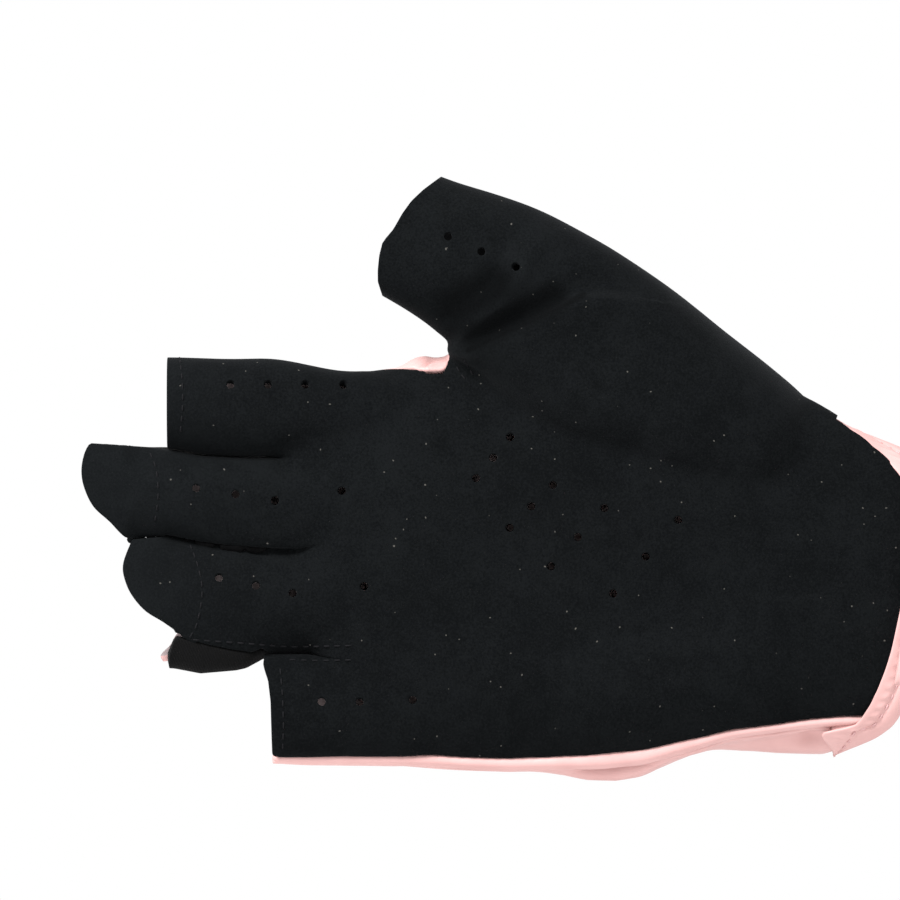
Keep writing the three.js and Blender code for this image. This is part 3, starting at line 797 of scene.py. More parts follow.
# The heel's cut edge and the rim of the band, moved along x: z, the edge's step and the rim's, in mm
HEEL_STEPS = np.array([
    [-36.0, 8.6, 0.0], [-31.8, 8.6, 0.0], [-31.2, 6.2, 0.0], [-30.6, 4.3, 0.1], [-30.0, 2.2, 0.2],
    [-29.3, -0.1, 0.3], [-28.5, -2.4, 0.5], [-27.7, -4.3, 0.3], [-27.1, -5.0, 0.1], [-26.7, -3.9, 0.0],
    [-26.2, -2.1, -0.2], [-25.6, -1.2, -0.5],
    [-23.0, -1.9, -1.6], [-20.0, -2.2, -1.7], [-17.1, -2.1, -1.6], [-11.4, -1.4, -1.0], [-3.5, -0.8, -0.5],
    [5.0, 0.0, 0.0], [15.0, -0.4, 0.0], [20.0, -1.6, 0.0], [23.3, -3.1, 0.0], [25.5, -4.2, 0.0],
    [28.6, -5.0, 0.0], [31.8, -3.8, 0.0], [34.3, -0.9, 0.0], [36.0, 0.0, 0.0],
])


def heel_step(z, along=0.0):
    edge, rim = (follow(HEEL_STEPS, z, k) for k in (1, 2))
    return edge + (rim - edge) * along


# How far the stalls' openings depart from a straight cut: z and the step along x, in mm
STALL_MOUTHS = [
    np.array([[0.0, -0.3]]),
    np.array([[10.4, -1.5], [11.8, -1.5], [13.5, 0.0]]),
    np.array([[-14.5, -0.9], [-12.5, -0.8], [-9.4, 0.1], [-7.4, 1.3], [-3.0, 1.3], [0.0, 0.0]]),
    np.array([[-32.0, 0.1], [-21.2, -0.2], [-16.9, -0.7], [-14.0, -1.7], [-11.8, -1.5]]),
]
# The pink back reaches a little further at the ring stall: z of its lip, reach and length, in mm
RING_LIP_AT, RING_LIP_REACH, RING_LIP = -13.6, 1.7, 1.3
# A distance that stands for somewhere else altogether
FAR = 99.0


def inside_openings(points, ring_lip=0.0):
    """How far a point lies inside the nearest opening of the glove, in millimetres."""
    x, z = points[:, 0], points[:, 2]
    stall = x - stall_value(x, z, [s["opening"] for s in STALLS.values()])
    away, hang = z - gap_line(PAIRS[2], x), press_fingers(points)[:, 2]
    stall -= stall_value(x, z, [follow(rows, hang) for rows in STALL_MOUTHS])
    stall += np.where(away > 0, ring_lip * bell(hang - RING_LIP_AT, RING_LIP_REACH), 0)
    thumb = (x - follow(THUMB_MOUTH, z)) * math.cos(THUMB_ANGLE)
    heel = section_edge(HEEL, z) + heel_step(z) + 0.5 - x
    thumb = np.where(x < -70, thumb, FAR)
    return np.minimum(np.where(is_thumb(x, z), thumb, stall), heel)


# %% Knit gussets and the rolled strip
# The suede's edge on the free side of the ring stall: x and z
KNIT_EDGE = np.array([
    [-151.0, -7.8], [-147.3, -8.8], [-141.6, -10.4], [-136.9, -11.4], [-130.4, -12.4], [-127.0, -13.5],
])
# The knit's depth in front, how much less of it a free side has behind, and its share of a stall
KNIT_FRONT, KNIT_HANG, KNIT_SHARE = 0.6, 1.2, 0.42


def gusset_depth(points):
    """How far inside the nearest knit gusset a point lies, in millimetres."""
    x, y, z = points.T
    hang = press_fingers(points)[:, 2]
    best = np.full(len(points), -1e9)
    for pair in PAIRS:
        upper, lower = STALLS[pair[0]], STALLS[pair[1]]
        start = min(upper["opening"], lower["opening"]) - OVERRUN
        crotch = max(PALM_SECTIONS[1][0], PALM_SECTIONS[1][2]) + GUSSET_REACH
        t = np.clip((x - start) / (crotch - start), 0, 1)
        curl = STALL_DEPTH * (STALL_ROWS[0][2] + (STALL_ROWS[2][2] - STALL_ROWS[0][2]) * t)
        free = (pair[0] == "ring") & (z > gap_line(pair, x))
        hanging = free * step_up(-x, 127, 131)
        front = KNIT_FRONT + hanging * (GUSSET_BREADTH / 2 - KNIT_FRONT)
        front = front * step_up(crotch + 1 - x, 0, 15) + y - curl
        below = follow(KNIT_EDGE, x) - hang
        front = np.where(free & (x < -128), np.maximum(front, below), front)
        depth = np.where(y < curl, front, GUSSET_BREADTH / 2 - KNIT_HANG * hanging - (y - curl))
        width = KNIT_SHARE * min(upper["breadth"], lower["breadth"]) - np.abs(z - gap_line(pair, x))
        best = np.maximum(best, np.minimum(np.minimum(depth, width), crotch - x))
    return best


def seam_point(section):
    """Where the seam crosses a section on the little finger's side."""
    seam_y = seam_height(section[LOWER_X], -FAR)
    share = min(0.9, (section[MIDDLE_Y] - seam_y) / section[FRONT])
    angle = math.pi + math.asin(share ** (section[SQUARE] / 2))
    return ring_points(section, np.array([angle]), PIPING_SINK)[0]


strip_end = PALM_SECTIONS[-1] + PIPING_END * (HEEL - PALM_SECTIONS[-1])
strip_sections = [*STALL_SECTIONS["little"][:3], *PALM_SECTIONS[3:], strip_end]
STRIP_LINE = np.array([seam_point(section) for section in strip_sections])
# The strip runs on under the band, in the direction of its last stretch and 1.6 times as far
RUN_ON = 1.6
STRIP_LINE = np.vstack([STRIP_LINE, (1 + RUN_ON) * STRIP_LINE[-1] - RUN_ON * STRIP_LINE[-2]])
# The strip is rolled fuller at the little finger's root and flattened towards the wrist: x, breadth
STRIP_SIZES = np.array([
    [-131.0, 2.3], [-104.0, 2.5], [-90.0, 2.8], [-76.0, 2.8], [-66.0, 3.6], [-54.0, 3.6], [-47.5, 3.0],
    [-42.5, 2.3], [-38.0, 2.0], [-30.0, 2.0], [-20.0, 2.1], [-12.0, 2.1],
])


def strip_at(x):
    """The strip's middle and breadth where it passes x. Its upper edge stays on the seam."""
    y, z = (follow(STRIP_LINE, x, k) for k in (1, 2))
    breadth = follow(STRIP_SIZES, x)
    return y, z + follow(SIDE_ROWS, x) + (PIPING_BREADTH - breadth) / 2, breadth


def strip_distance(points):
    """Distance from the rolled strip's surface, with the strip running on past both its ends."""
    y, z, breadth = strip_at(points[:, 0])
    round_y, round_z = (points[:, 1] - y) / (PIPING_DEPTH / 2), (points[:, 2] - z) / (breadth / 2)
    return (np.hypot(round_y, round_z) - 1) * breadth / 2


# Where the back leather falls in beside the strip: how deep, x, half its length, how square its
# ends are, distance from the strip and half its breadth. All but the squareness in millimetres.
SIDE_FOLDS = [
    (2.2, -61.0, 8.0, 4, 0.8, 0.9),
    (1.1, -32.0, 12.0, 4, 2.6, 1.8),
    (1.3, -23.5, 2.4, 2, 2.2, 2.0),
]


def side_folds(points):
    """How far the skin moves outwards beside the strip: below zero, because it falls in there."""
    x, y, z = points.T
    beside = strip_distance(points)
    behind = step_up(y - strip_at(x)[0], -0.5, 1.5) * (z < -18)
    depth = np.zeros(len(x))
    for deep, at, half, square, away, breadth in SIDE_FOLDS:
        depth += deep * np.exp(-((x - at) / half) ** square - ((beside - away) / breadth) ** 2)
    return -depth * behind


# %% One distance function for each panel
# The tongues' outlines, seen from the palm: x and z in millimetres, from the thumb side round
TONGUE_OUTLINES = {
    "middle": [(-147.0, 27.0), (-150.0, 27.6), (-151.7, 28.0), (-153.7, 28.7), (-155.1, 29.0),
               (-156.0, 28.8), (-158.6, 28.8), (-161.4, 28.8), (-163.8, 28.2), (-165.5, 26.6),
               (-166.1, 23.8), (-165.6, 20.6), (-163.8, 16.9), (-160.8, 14.4), (-156.6, 11.8),
               (-147.0, 9.0)],
    "ring": [(-141.0, 10.6), (-146.3, 11.4), (-149.5, 12.1), (-152.4, 12.1), (-154.4, 11.5), (-156.0, 9.8),
             (-157.4, 7.5), (-158.0, 5.2), (-157.7, 2.8), (-156.4, -0.3), (-153.7, -3.5), (-150.3, -5.5),
             (-146.8, -7.4), (-141.0, -9.5)],
}


def rounded_path(corners, steps, closed=False):
    """A smooth path through corners, with as many steps between two of them."""
    corners = np.asarray(corners, float)
    before = np.roll(corners, 1, axis=0) if closed else np.vstack([corners[:1], corners[:-1]])
    after = np.roll(corners, -1, axis=0) if closed else np.vstack([corners[1:], corners[-1:]])
    tangent = (after - before) / 2
    found = []
    for i in range(len(corners) if closed else len(corners) - 1):
        j = (i + 1) % len(corners)
        for t in np.arange(steps) / steps:
            first, leaving, arriving = curve_shares(t)
            found.append(first * corners[i] + (1 - first) * corners[j]
                         + leaving * tangent[i] + arriving * tangent[j])
    if not closed:
        found.append(corners[-1])
    return np.array(found)


def inside_outline(x, z, corners):
    """Distance to a closed outline, above zero inside it."""
    best, inside = np.full(len(x), 1e9), np.zeros(len(x), bool)
    for start, end in zip(corners, np.roll(corners, -1, axis=0)):
        dx, dz, _ = to_segment(x, z, start, end)
        best = np.minimum(best, np.hypot(dx, dz))
        if start[1] != end[1]:
            crosses = (start[1] > z) != (end[1] > z)
            meets = start[0] + (z - start[1]) / (end[1] - start[1]) * (end[0] - start[0])
            inside ^= crosses & (x < meets)
    return np.where(inside, best, -best)


TONGUE_PATHS = {name: rounded_path(corners, 5) for name, corners in TONGUE_OUTLINES.items()}
# The middle of the stalls' openings in depth, a little towards the palm
TONGUES_BEFORE = STALL_ROWS[0][2] * STALL_DEPTH - 0.3
# Half of the room that a turned edge takes up at a seam
SEAM_HALF = 0.53


def palm_side(points):
    """Above zero on the palm's side of the seam, in millimetres. The strip covers the seam."""
    x, y, z = points.T
    return np.minimum(seam_height(x, z) - y, z - strip_at(x)[1] + 0.2)


def sewn_edge(points, own_side):
    """Distance from the turned edges of a panel that lies where own_side is above zero."""
    edge = np.minimum(own_side, -gusset_depth(points))
    return np.minimum(edge, strip_distance(points)) - SEAM_HALF


def palm_field(points):
    x, y, z = points.T
    panel = np.minimum(inside_openings(points), sewn_edge(points, palm_side(points)))
    for name in TONGUES:
        own = stall_value(x, z, [name == key for key in STALLS]) > 0
        near = own & (y < TONGUES_BEFORE) & (x < STALLS[name]["opening"] + 4)
        tongue = np.full(len(x), -FAR)
        tongue[near] = inside_outline(x[near], z[near], TONGUE_PATHS[name])
        panel = np.maximum(panel, tongue)
    holes = np.where(y < seam_height(x, z), hole_distance(points) - HOLE_DIAMETER / 2, FAR)
    return np.minimum(panel, holes)


def thumb_back_field(points):
    web = points[:, 2] - web_height(points[:, 0]) - SEAM_HALF
    return np.minimum(np.minimum(inside_openings(points), sewn_edge(points, -palm_side(points))), web)


def back_field(points):
    web = web_height(points[:, 0]) - points[:, 2] - SEAM_HALF
    opening = inside_openings(points, ring_lip=RING_LIP)
    return np.minimum(np.minimum(opening, sewn_edge(points, -palm_side(points))), web)


def gusset_field(pair):
    def field(points):
        near = KNIT_SHARE * BREADTHS["ring"] - np.abs(points[:, 2] - gap_line(pair, points[:, 0]))
        return np.minimum(np.minimum(inside_openings(points), gusset_depth(points) - SEAM_HALF), near)
    return field


# %% Cut along a zero line
# A point this near to the cut, as a share of its edge, moves on to it, so no slivers are left
SNAP = 0.22


def crossing(values, a, b):
    return values[a] / (values[a] - values[b])


def cut_out(values_at, carried, faces, field):
    """Keeps the faces where field is above zero. values_at is where the field is read, and the
    carried columns (final places and outward directions) are cut along with it."""
    table = np.hstack([values_at, carried])
    values = field(values_at)
    mixed = [f for f in faces if min(values[i] for i in f) < 0 < max(values[i] for i in f)]
    moves = {}
    for face in mixed:
        for a, b in zip(face, face[1:] + face[:1]):
            if values[a] * values[b] < 0:
                t = crossing(values, a, b)
                for corner, share in ((a, t), (b, 1 - t)):
                    if share < SNAP and share < moves.get(corner, (SNAP,))[0]:
                        moves[corner] = (share, table[a] + t * (table[b] - table[a]))
    for corner, (share, row) in moves.items():
        table[corner], values[corner] = row, 0.0
    extra, made, kept = [], {}, []

    def new_point(a, b):
        key = (min(a, b), max(a, b))
        if key not in made:
            t = crossing(values, *key)
            extra.append(table[key[0]] + t * (table[key[1]] - table[key[0]]))
            made[key] = len(table) + len(extra) - 1
        return made[key]

    for face in faces:
        own = [values[i] for i in face]
        if max(own) <= 0:
            continue
        if min(own) >= 0:
            kept.append(face)
            continue
        corners = []
        for a, b in zip(face, face[1:] + face[:1]):
            if values[a] >= 0:
                corners.append(a)
            if values[a] * values[b] < 0:
                corners.append(new_point(a, b))
        if len(corners) > 2:
            kept.append(tuple(corners))
    if extra:
        table = np.vstack([table, extra])
    used = np.unique(np.concatenate([np.array(face) for face in kept]))
    renumber = np.full(len(table), -1)
    renumber[used] = np.arange(len(used))
    return table[used], [tuple(renumber[list(face)]) for face in kept]


# %% Give a cut panel its thickness
def thicken(points, outward, faces, wall, bulge, rows, squared):
    """Adds the inner face and a rounded rim. bulge says how far the rim stands out."""
    outward = outward / np.linalg.norm(outward, axis=1)[:, None]
    edges = {}
    for face in faces:
        for edge in zip(face, face[1:] + face[:1]):
            edges[edge] = True
    rim = [(a, b) for (a, b) in edges if (b, a) not in edges]
    heads = np.array(rim)
    run = points[heads[:, 1]] - points[heads[:, 0]]
    aside = np.cross(run, outward[heads[:, 0]])
    pull = np.zeros_like(points)
    for k in range(2):
        np.add.at(pull, heads[:, k], aside)
    for _ in range(3):
        spreading = pull.copy()
        np.add.at(spreading, heads[:, 0], 0.5 * pull[heads[:, 1]])
        np.add.at(spreading, heads[:, 1], 0.5 * pull[heads[:, 0]])
        pull = spreading
    pull -= outward * (pull * outward).sum(axis=1)[:, None]
    pull /= np.maximum(np.linalg.norm(pull, axis=1), 1e-9)[:, None]
    count = len(points)
    edge_points = np.unique(heads)
    slot = {v: i for i, v in enumerate(edge_points)}
    stand = np.broadcast_to(bulge, count)[edge_points]
    half = wall / 2
    centre = points[edge_points] - outward[edge_points] * half
    layers = [points, points - outward * wall]
    for k in range(1, rows):
        angle = math.pi * (0.5 - k / rows)
        up = np.sign(math.sin(angle)) * abs(math.sin(angle)) ** (2 / squared)
        out = abs(math.cos(angle)) ** (2 / squared)
        raised = centre + outward[edge_points] * half * up
        layers.append(raised + pull[edge_points] * half * stand[:, None] * out)

    def row_point(v, k):
        if k == 0:
            return v
        if k == rows:
            return v + count
        return 2 * count + (k - 1) * len(edge_points) + slot[v]

    solid = list(faces) + [tuple(i + count for i in reversed(face)) for face in faces]
    for a, b in rim:
        for k in range(rows):
            solid.append((row_point(b, k), row_point(a, k), row_point(a, k + 1), row_point(b, k + 1)))
    return np.vstack(layers), solid


# %% Make a piece from points and faces
def make_piece(name, points, faces, finish, nodes=(), lining=None, lined=None):
    mesh = bpy.data.meshes.new(name)
    mesh.from_pydata((np.asarray(points) * MM).tolist(), [], faces)
    mesh.materials.append(finish)
    if lining:
        mesh.materials.append(lining)
        which = np.zeros(len(faces), int)
        which[lined[0]:lined[1]] = 1
        mesh.polygons.foreach_set("material_index", which)
    mesh.validate()
    mesh.shade_smooth()
    piece = bpy.data.objects.new(name, mesh)
    bpy.context.scene.collection.objects.link(piece)
    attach(piece, "root")
    if nodes:
        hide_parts(*nodes)
    print(name, "-", len(mesh.vertices), "points,", sum(len(f) - 2 for f in faces), "triangles")


# %% [markdown]
# ## Finishes
# Suede is leather with its fibres raised, so it scatters light, shows brushed patches and keeps
# lint. The pink leather is a smooth coated cloth with a fine grain. Grain and mottling are used by
# several materials, so each is a node group that is built once and given its own values.

# %% Node helpers
def new_group(name, inputs, outputs):
    group = bpy.data.node_groups.new(name, "ShaderNodeTree")
    for title, kind, value in inputs:
        socket = group.interface.new_socket(name=title, in_out="INPUT", socket_type=kind)
        socket.default_value = value
    for title, kind in outputs:
        group.interface.new_socket(name=title, in_out="OUTPUT", socket_type=kind)
    return group, group.nodes.new("NodeGroupInput"), group.nodes.new("NodeGroupOutput")


def feed(tree, sockets, values):
    """Links or sets each named or numbered socket."""
    for key, value in values:
        if isinstance(value, bpy.types.NodeSocket):
            tree.links.new(value, sockets[key])
        else:
            sockets[key].default_value = value


def add(tree, kind, settings=None, **values):
    node = tree.nodes.new(kind)
    for key, value in (settings or {}).items():
        setattr(node, key, value)
    feed(tree, node.inputs, values.items())
    return node


def maths(tree, operation, *values):
    node = add(tree, "ShaderNodeMath", {"operation": operation})
    feed(tree, node.inputs, enumerate(values))
    return node.outputs[0]


def vector_maths(tree, operation, *values, **named):
    node = add(tree, "ShaderNodeVectorMath", {"operation": operation}, **named)
    feed(tree, node.inputs, enumerate(values))
    return node


def blend_of(tree, *parts):
    """The sum of values, each with its own weight."""
    total = None
    for value, weight in parts:
        part = maths(tree, "MULTIPLY", value, weight)
        total = part if total is None else maths(tree, "ADD", total, part)
    return total


def noise(tree, place, scale, detail, rough):
    node = add(tree, "ShaderNodeTexNoise", None, Vector=place, Scale=scale, Detail=detail, Roughness=rough)
    return node.outputs["Fac"]


def ramp(tree, value, low, high, to_low=0.0, to_high=1.0):
    node = add(tree, "ShaderNodeMapRange", {"interpolation_type": "SMOOTHSTEP"}, Value=value)
    limits = zip(("From Min", "From Max", "To Min", "To Max"), (low, high, to_low, to_high))
    feed(tree, node.inputs, limits)
    return node.outputs["Result"]


def mix_colour(tree, factor, first, second):
    node = add(tree, "ShaderNodeMix", {"data_type": "RGBA"})
    feed(tree, node.inputs, ((0, factor), (6, first), (7, second)))
    return node.outputs[2]


# %% Nap: raised fibres with brushed patches and a little lint
def make_nap():
    group, start, end = new_group(
        "nap",
        [("Vector", "NodeSocketVector", (0, 0, 0)), ("Dark", "NodeSocketColor", (0.01, 0.01, 0.012, 1)),
         ("Light", "NodeSocketColor", (0.02, 0.02, 0.022, 1)), ("Lint", "NodeSocketFloat", 1.0)],
        [("Color", "NodeSocketColor"), ("Height", "NodeSocketFloat"), ("Roughness", "NodeSocketFloat")],
    )
    place = start.outputs["Vector"]
    fine = noise(group, place, 2300, 4, 0.65)
    patch = noise(group, place, 55, 3, 0.6)
    brushed = noise(group, place, 260, 2, 0.5)
    blend = ramp(group, blend_of(group, (fine, 0.55), (patch, 0.30), (brushed, 0.15)), 0.38, 0.62)
    colour = mix_colour(group, blend, start.outputs["Dark"], start.outputs["Light"])
    bent = add(group, "ShaderNodeTexNoise", None, Vector=place, Scale=420.0, Detail=1.0)
    wobble = vector_maths(group, "SCALE", bent.outputs["Color"], Scale=0.0012)
    drifted = vector_maths(group, "ADD", place, wobble.outputs[0])
    flecks = add(group, "ShaderNodeTexVoronoi", None, Vector=drifted.outputs[0], Scale=480.0)
    near = ramp(group, flecks.outputs["Distance"], 0.05, 0.10, 1.0, 0.0)
    parts = add(group, "ShaderNodeSeparateColor", None, Color=flecks.outputs["Color"])
    some = maths(group, "GREATER_THAN", parts.outputs[0], 0.74)
    lint = maths(group, "MULTIPLY", maths(group, "MULTIPLY", near, some), start.outputs["Lint"])
    colour = mix_colour(group, maths(group, "MULTIPLY", lint, 0.11), colour, (0.55, 0.52, 0.46, 1))
    group.links.new(colour, end.inputs["Color"])
    group.links.new(blend_of(group, (fine, 0.8), (lint, 0.3)), end.inputs["Height"])
    group.links.new(ramp(group, patch, 0.3, 0.7, 0.88, 0.98), end.inputs["Roughness"])
    return group


NAP = make_nap()


# %% Painted fold shade: the suede's colour is darkened in the thumb's creases, where shade falls
# Each shaded fold: where it starts and ends, x and z, and its reach, all in metres
SHADED_FOLDS = [
    ((-0.0890, 0.0500), (-0.0740, 0.0570), 0.0050),
    ((-0.0930, 0.0560), (-0.0855, 0.0600), 0.0065),
    ((-0.0905, 0.0474), (-0.0761, 0.0541), 0.0011),
    ((-0.0761, 0.0541), (-0.0680, 0.0581), 0.0010),
]


# A mask for the painted shade in the thumb's creases
def make_fold_shade():
    group, start, end = new_group(
        "painted_fold_shade", [("Vector", "NodeSocketVector", (0, 0, 0))], [("Mask", "NodeSocketFloat")],
    )
    flat = vector_maths(group, "MULTIPLY", start.outputs[0], (1, 0, 1)).outputs[0]
    total = None
    for (x0, z0), (x1, z1), reach in SHADED_FOLDS:
        run = Vector((x1 - x0, 0, z1 - z0))
        away = vector_maths(group, "SUBTRACT", flat, (x0, 0, z0)).outputs[0]
        scaled = tuple(run / run.length_squared)
        along = vector_maths(group, "DOT_PRODUCT", away, scaled).outputs["Value"]
        along = add(group, "ShaderNodeClamp", None, Value=along).outputs[0]
        nearest = vector_maths(group, "SCALE", tuple(run), Scale=along).outputs[0]
        gap = vector_maths(group, "DISTANCE", away, nearest).outputs["Value"]
        near = ramp(group, gap, 0.2 * reach, reach, 1.0, 0.0)
        total = near if total is None else maths(group, "MAXIMUM", total, near)
    group.links.new(total, end.inputs["Mask"])
    return group


FOLD_SHADE_GROUP = make_fold_shade()


# %% Grain: the fine pebbling of coated leather
def make_grain():
    group, start, end = new_group(
        "grain",
        [("Vector", "NodeSocketVector", (0, 0, 0)), ("Scale", "NodeSocketFloat", 1500.0),
         ("Base", "NodeSocketColor", (0.75, 0.47, 0.45, 1)),
         ("Deep", "NodeSocketColor", (0.6, 0.33, 0.32, 1))],
        [("Color", "NodeSocketColor"), ("Height", "NodeSocketFloat"), ("Roughness", "NodeSocketFloat")],
    )
    place = start.outputs["Vector"]
    cells = add(group, "ShaderNodeTexVoronoi", {"feature": "SMOOTH_F1"}, Vector=place,
                Scale=start.outputs["Scale"], Smoothness=0.4)
    pebbles = maths(group, "SUBTRACT", 1.0, cells.outputs["Distance"])
    wrinkle = noise(group, place, 240, 4, 0.6)
    cloud = noise(group, place, 60, 3, 0.55)
    tone = ramp(group, blend_of(group, (cloud, 0.7), (wrinkle, 0.3)), 0.35, 0.70, 0.0, 0.45)
    colour = mix_colour(group, tone, start.outputs["Base"], start.outputs["Deep"])
    group.links.new(colour, end.inputs["Color"])
    group.links.new(blend_of(group, (pebbles, 0.45), (wrinkle, 0.8)), end.inputs["Height"])
    group.links.new(ramp(group, cloud, 0.3, 0.7, 0.46, 0.58), end.inputs["Roughness"])
    return group


GRAIN = make_grain()


# %% Materials
def start_material(name):
    material = bpy.data.materials.new(name)
    material.use_nodes = True
    tree = material.node_tree
    shader = tree.nodes["Principled BSDF"]
    place = tree.nodes.new("ShaderNodeTexCoord").outputs["Object"]
    return material, tree, shader, place


def with_group(tree, group, **values):
    node = tree.nodes.new("ShaderNodeGroup")
    node.node_tree = group
    feed(tree, node.inputs, values.items())
    return node


def set_sheen(shader, specular, sheen=0.0):
    shader.inputs["Specular IOR Level"].default_value = specular
    shader.inputs["Sheen Weight"].default_value = sheen


def add_bump(tree, shader, height, strength, distance):
    bump = add(tree, "ShaderNodeBump", None, Height=height, Strength=strength, Distance=distance)
    tree.links.new(bump.outputs["Normal"], shader.inputs["Normal"])


def toned(colour, share):
    return tuple(share * value for value in colour[:3]) + (1,)


def make_suede(name, dark, light, lint, painted_shade=0.0, tip_lightening=0.0):
    """The first share paints shade into the folds of the nap, and the second lightens the nap towards the
    finger ends.
    """
    material, tree, shader, place = start_material(name)
    nap = with_group(tree, NAP, Vector=place, Dark=dark, Light=light, Lint=lint)
    colour = nap.outputs["Color"]
    if painted_shade:
        # Painted shade: the suede's colour is darkened in the thumb's creases
        shade_mask = with_group(tree, FOLD_SHADE_GROUP, Vector=place).outputs["Mask"]
        colour = mix_colour(tree, maths(tree, "MULTIPLY", shade_mask, painted_shade), colour, toned(dark, 0.35))
        # The colour is lighter towards the finger ends
        along = add(tree, "ShaderNodeSeparateXYZ", None, Vector=place).outputs["X"]
        tips = ramp(tree, along, -0.158, -0.128, tip_lightening, 0.0)
        colour = mix_colour(tree, tips, colour, toned(light, 1.6))
    tree.links.new(colour, shader.inputs["Base Color"])
    tree.links.new(nap.outputs["Roughness"], shader.inputs["Roughness"])
    set_sheen(shader, specular=0.03, sheen=0.03)
    shader.inputs["Sheen Roughness"].default_value = 0.45
    shader.inputs["Sheen Tint"].default_value = (0.55, 0.58, 0.62, 1)
    add_bump(tree, shader, nap.outputs["Height"], 0.6, 0.00018)
    return material


def make_leather(name, base, deep):
    material, tree, shader, place = start_material(name)
    grain = with_group(tree, GRAIN, Vector=place, Scale=1500.0, Base=base, Deep=deep)
    tree.links.new(grain.outputs["Color"], shader.inputs["Base Color"])
    tree.links.new(grain.outputs["Roughness"], shader.inputs["Roughness"])
    set_sheen(shader, specular=0.35)
    add_bump(tree, shader, grain.outputs["Height"], 0.35, 0.00012)
    return material


RIB_PITCH = 0.00055


def make_knit(name, dark, light):
    """Slanting ribs, in metres, under a loose fuzz."""
    material, tree, shader, place = start_material(name)
    parts = add(tree, "ShaderNodeSeparateXYZ", None, Vector=place)
    slant = maths(tree, "ADD", parts.outputs["X"], maths(tree, "MULTIPLY", parts.outputs["Z"], 0.45))
    across = maths(tree, "MULTIPLY", slant, 2 * math.pi / RIB_PITCH)
    loops = maths(tree, "MULTIPLY", maths(tree, "SINE", across), 0.5)
    fuzz = noise(tree, place, 2600, 3, 0.6)
    height = maths(tree, "ADD", maths(tree, "MULTIPLY", loops, 0.4), fuzz)
    colour = mix_colour(tree, ramp(tree, height, 0.2, 1.0), dark, light)
    tree.links.new(colour, shader.inputs["Base Color"])
    shader.inputs["Roughness"].default_value = 0.95
    set_sheen(shader, specular=0.1, sheen=0.02)
    add_bump(tree, shader, height, 0.5, 0.0002)
    return material


def make_thread(name, colour, dark):
    material, tree, shader, place = start_material(name)
    tone = noise(tree, place, 3000, 2, 0.5)
    tree.links.new(mix_colour(tree, tone, dark, colour), shader.inputs["Base Color"])
    shader.inputs["Roughness"].default_value = 0.85
    set_sheen(shader, specular=0.1)
    add_bump(tree, shader, tone, 0.3, 0.0001)
    return material


# The palm's suede has painted shade in its creases and is lighter towards the finger ends
SUEDE = make_suede("black_suede", (0.0019, 0.0023, 0.0026, 1), (0.0046, 0.0053, 0.0058, 1),
                   lint=1.0, painted_shade=0.75, tip_lightening=0.25)
FLESH_SIDE = make_suede("suede_inside", (0.0012, 0.0012, 0.0013, 1), (0.0024, 0.0024, 0.0026, 1), lint=0.0)
LINING = make_suede("lining_cloth", (0.26, 0.21, 0.21, 1), (0.35, 0.29, 0.29, 1), lint=0.0)
LEATHER = make_leather("pink_leather", (0.57, 0.338, 0.323, 1), (0.48, 0.262, 0.248, 1))
KNIT = make_knit("rib_knit", (0.0013, 0.0013, 0.0014, 1), (0.0033, 0.0033, 0.0034, 1))
BLACK_THREAD = make_thread("black_thread", (0.008, 0.008, 0.009, 1), (0.004, 0.004, 0.005, 1))
PINK_THREAD = make_thread("pink_thread", (0.64, 0.40, 0.40, 1), (0.50, 0.29, 0.29, 1))
print("finishes:", len(bpy.data.materials))

# %% [markdown]
# ## The panels
# The palm is cut with its holes and the two tongues, then every panel gets its wall. Cut edges,
# at the finger openings and the holes, are nearly square. Edges at a seam are turned, so they
# bulge like a small roll.

# %% Cut the panels
skin_points = mesh_points(skin)
skin_faces = [tuple(polygon.vertices) for polygon in skin.polygons]
worn_points = press_fingers(skin_points)
worn_points += mesh_normals(skin) * side_folds(skin_points)[:, None]
set_points(skin, worn_points)
worn = np.hstack([worn_points, mesh_normals(skin)])
SKIN_TREE = BVHTree.FromPolygons(worn_points.tolist(), skin_faces)


CUT_BULGE, TURNED_BULGE = 0.15, 0.66


def edge_bulge(points):
    """Edges near an opening or a hole and round the tongues are cut square, others are turned."""
    holes = hole_distance(points) - HOLE_DIAMETER / 2
    mouth = inside_openings(points)
    for name in TONGUES:
        mouth = np.where(points[:, 0] < STALLS[name]["opening"] + 0.5, 0.0, mouth)
    is_cut = np.minimum(np.abs(holes), np.abs(mouth)) < 0.45
    return np.where(is_cut, CUT_BULGE, TURNED_BULGE)


def make_panel(name, node, field, finish, lining):
    table, cut = cut_out(skin_points, worn, skin_faces, field)
    places, final, outward = table[:, 0:3], table[:, 3:6], table[:, 6:9]
    points, faces = thicken(final, outward, cut, SUEDE_WALL, edge_bulge(places), rows=5, squared=2.6)
    make_piece(name, points, faces, finish, [node], lining, (len(cut), 2 * len(cut)))


make_panel("palm_suede", "palm_panel", palm_field, SUEDE, FLESH_SIDE)
make_panel("thumb_suede", "thumb_back", thumb_back_field, SUEDE, FLESH_SIDE)
make_panel("back_leather", "back_panel", back_field, LEATHER, LINING)
for pair in PAIRS:
    fingers = "_".join(pair)
    make_panel("knit_" + fingers, "gusset_" + fingers, gusset_field(pair), KNIT, FLESH_SIDE)

# %% [markdown]
# ## The pull tabs
# Each tongue of the palm is doubled underneath by a second piece of suede, sewn to it. A flat
# grid is laid under the tongue: every point is dropped on the palm from in front, and the grid
# keeps just below the palm's own wall.

# %% Pull tabs
TAB_PITCH, TAB_INSET, TAB_WALL = 0.5, 0.6, 0.9
# How far the tab runs in over the opening, and how squarely the skin has to face the palm's side
TAB_INWARDS, TAB_FACING = 3.6, 0.55


def palm_front(x, z):
    """The place and outward direction of the skin as seen from the palm's side."""
    hit = SKIN_TREE.ray_cast(Vector((x, -200, z)), Vector((0, 1, 0)))
    return (hit[0], hit[1]) if hit[0] is not None else (None, None)


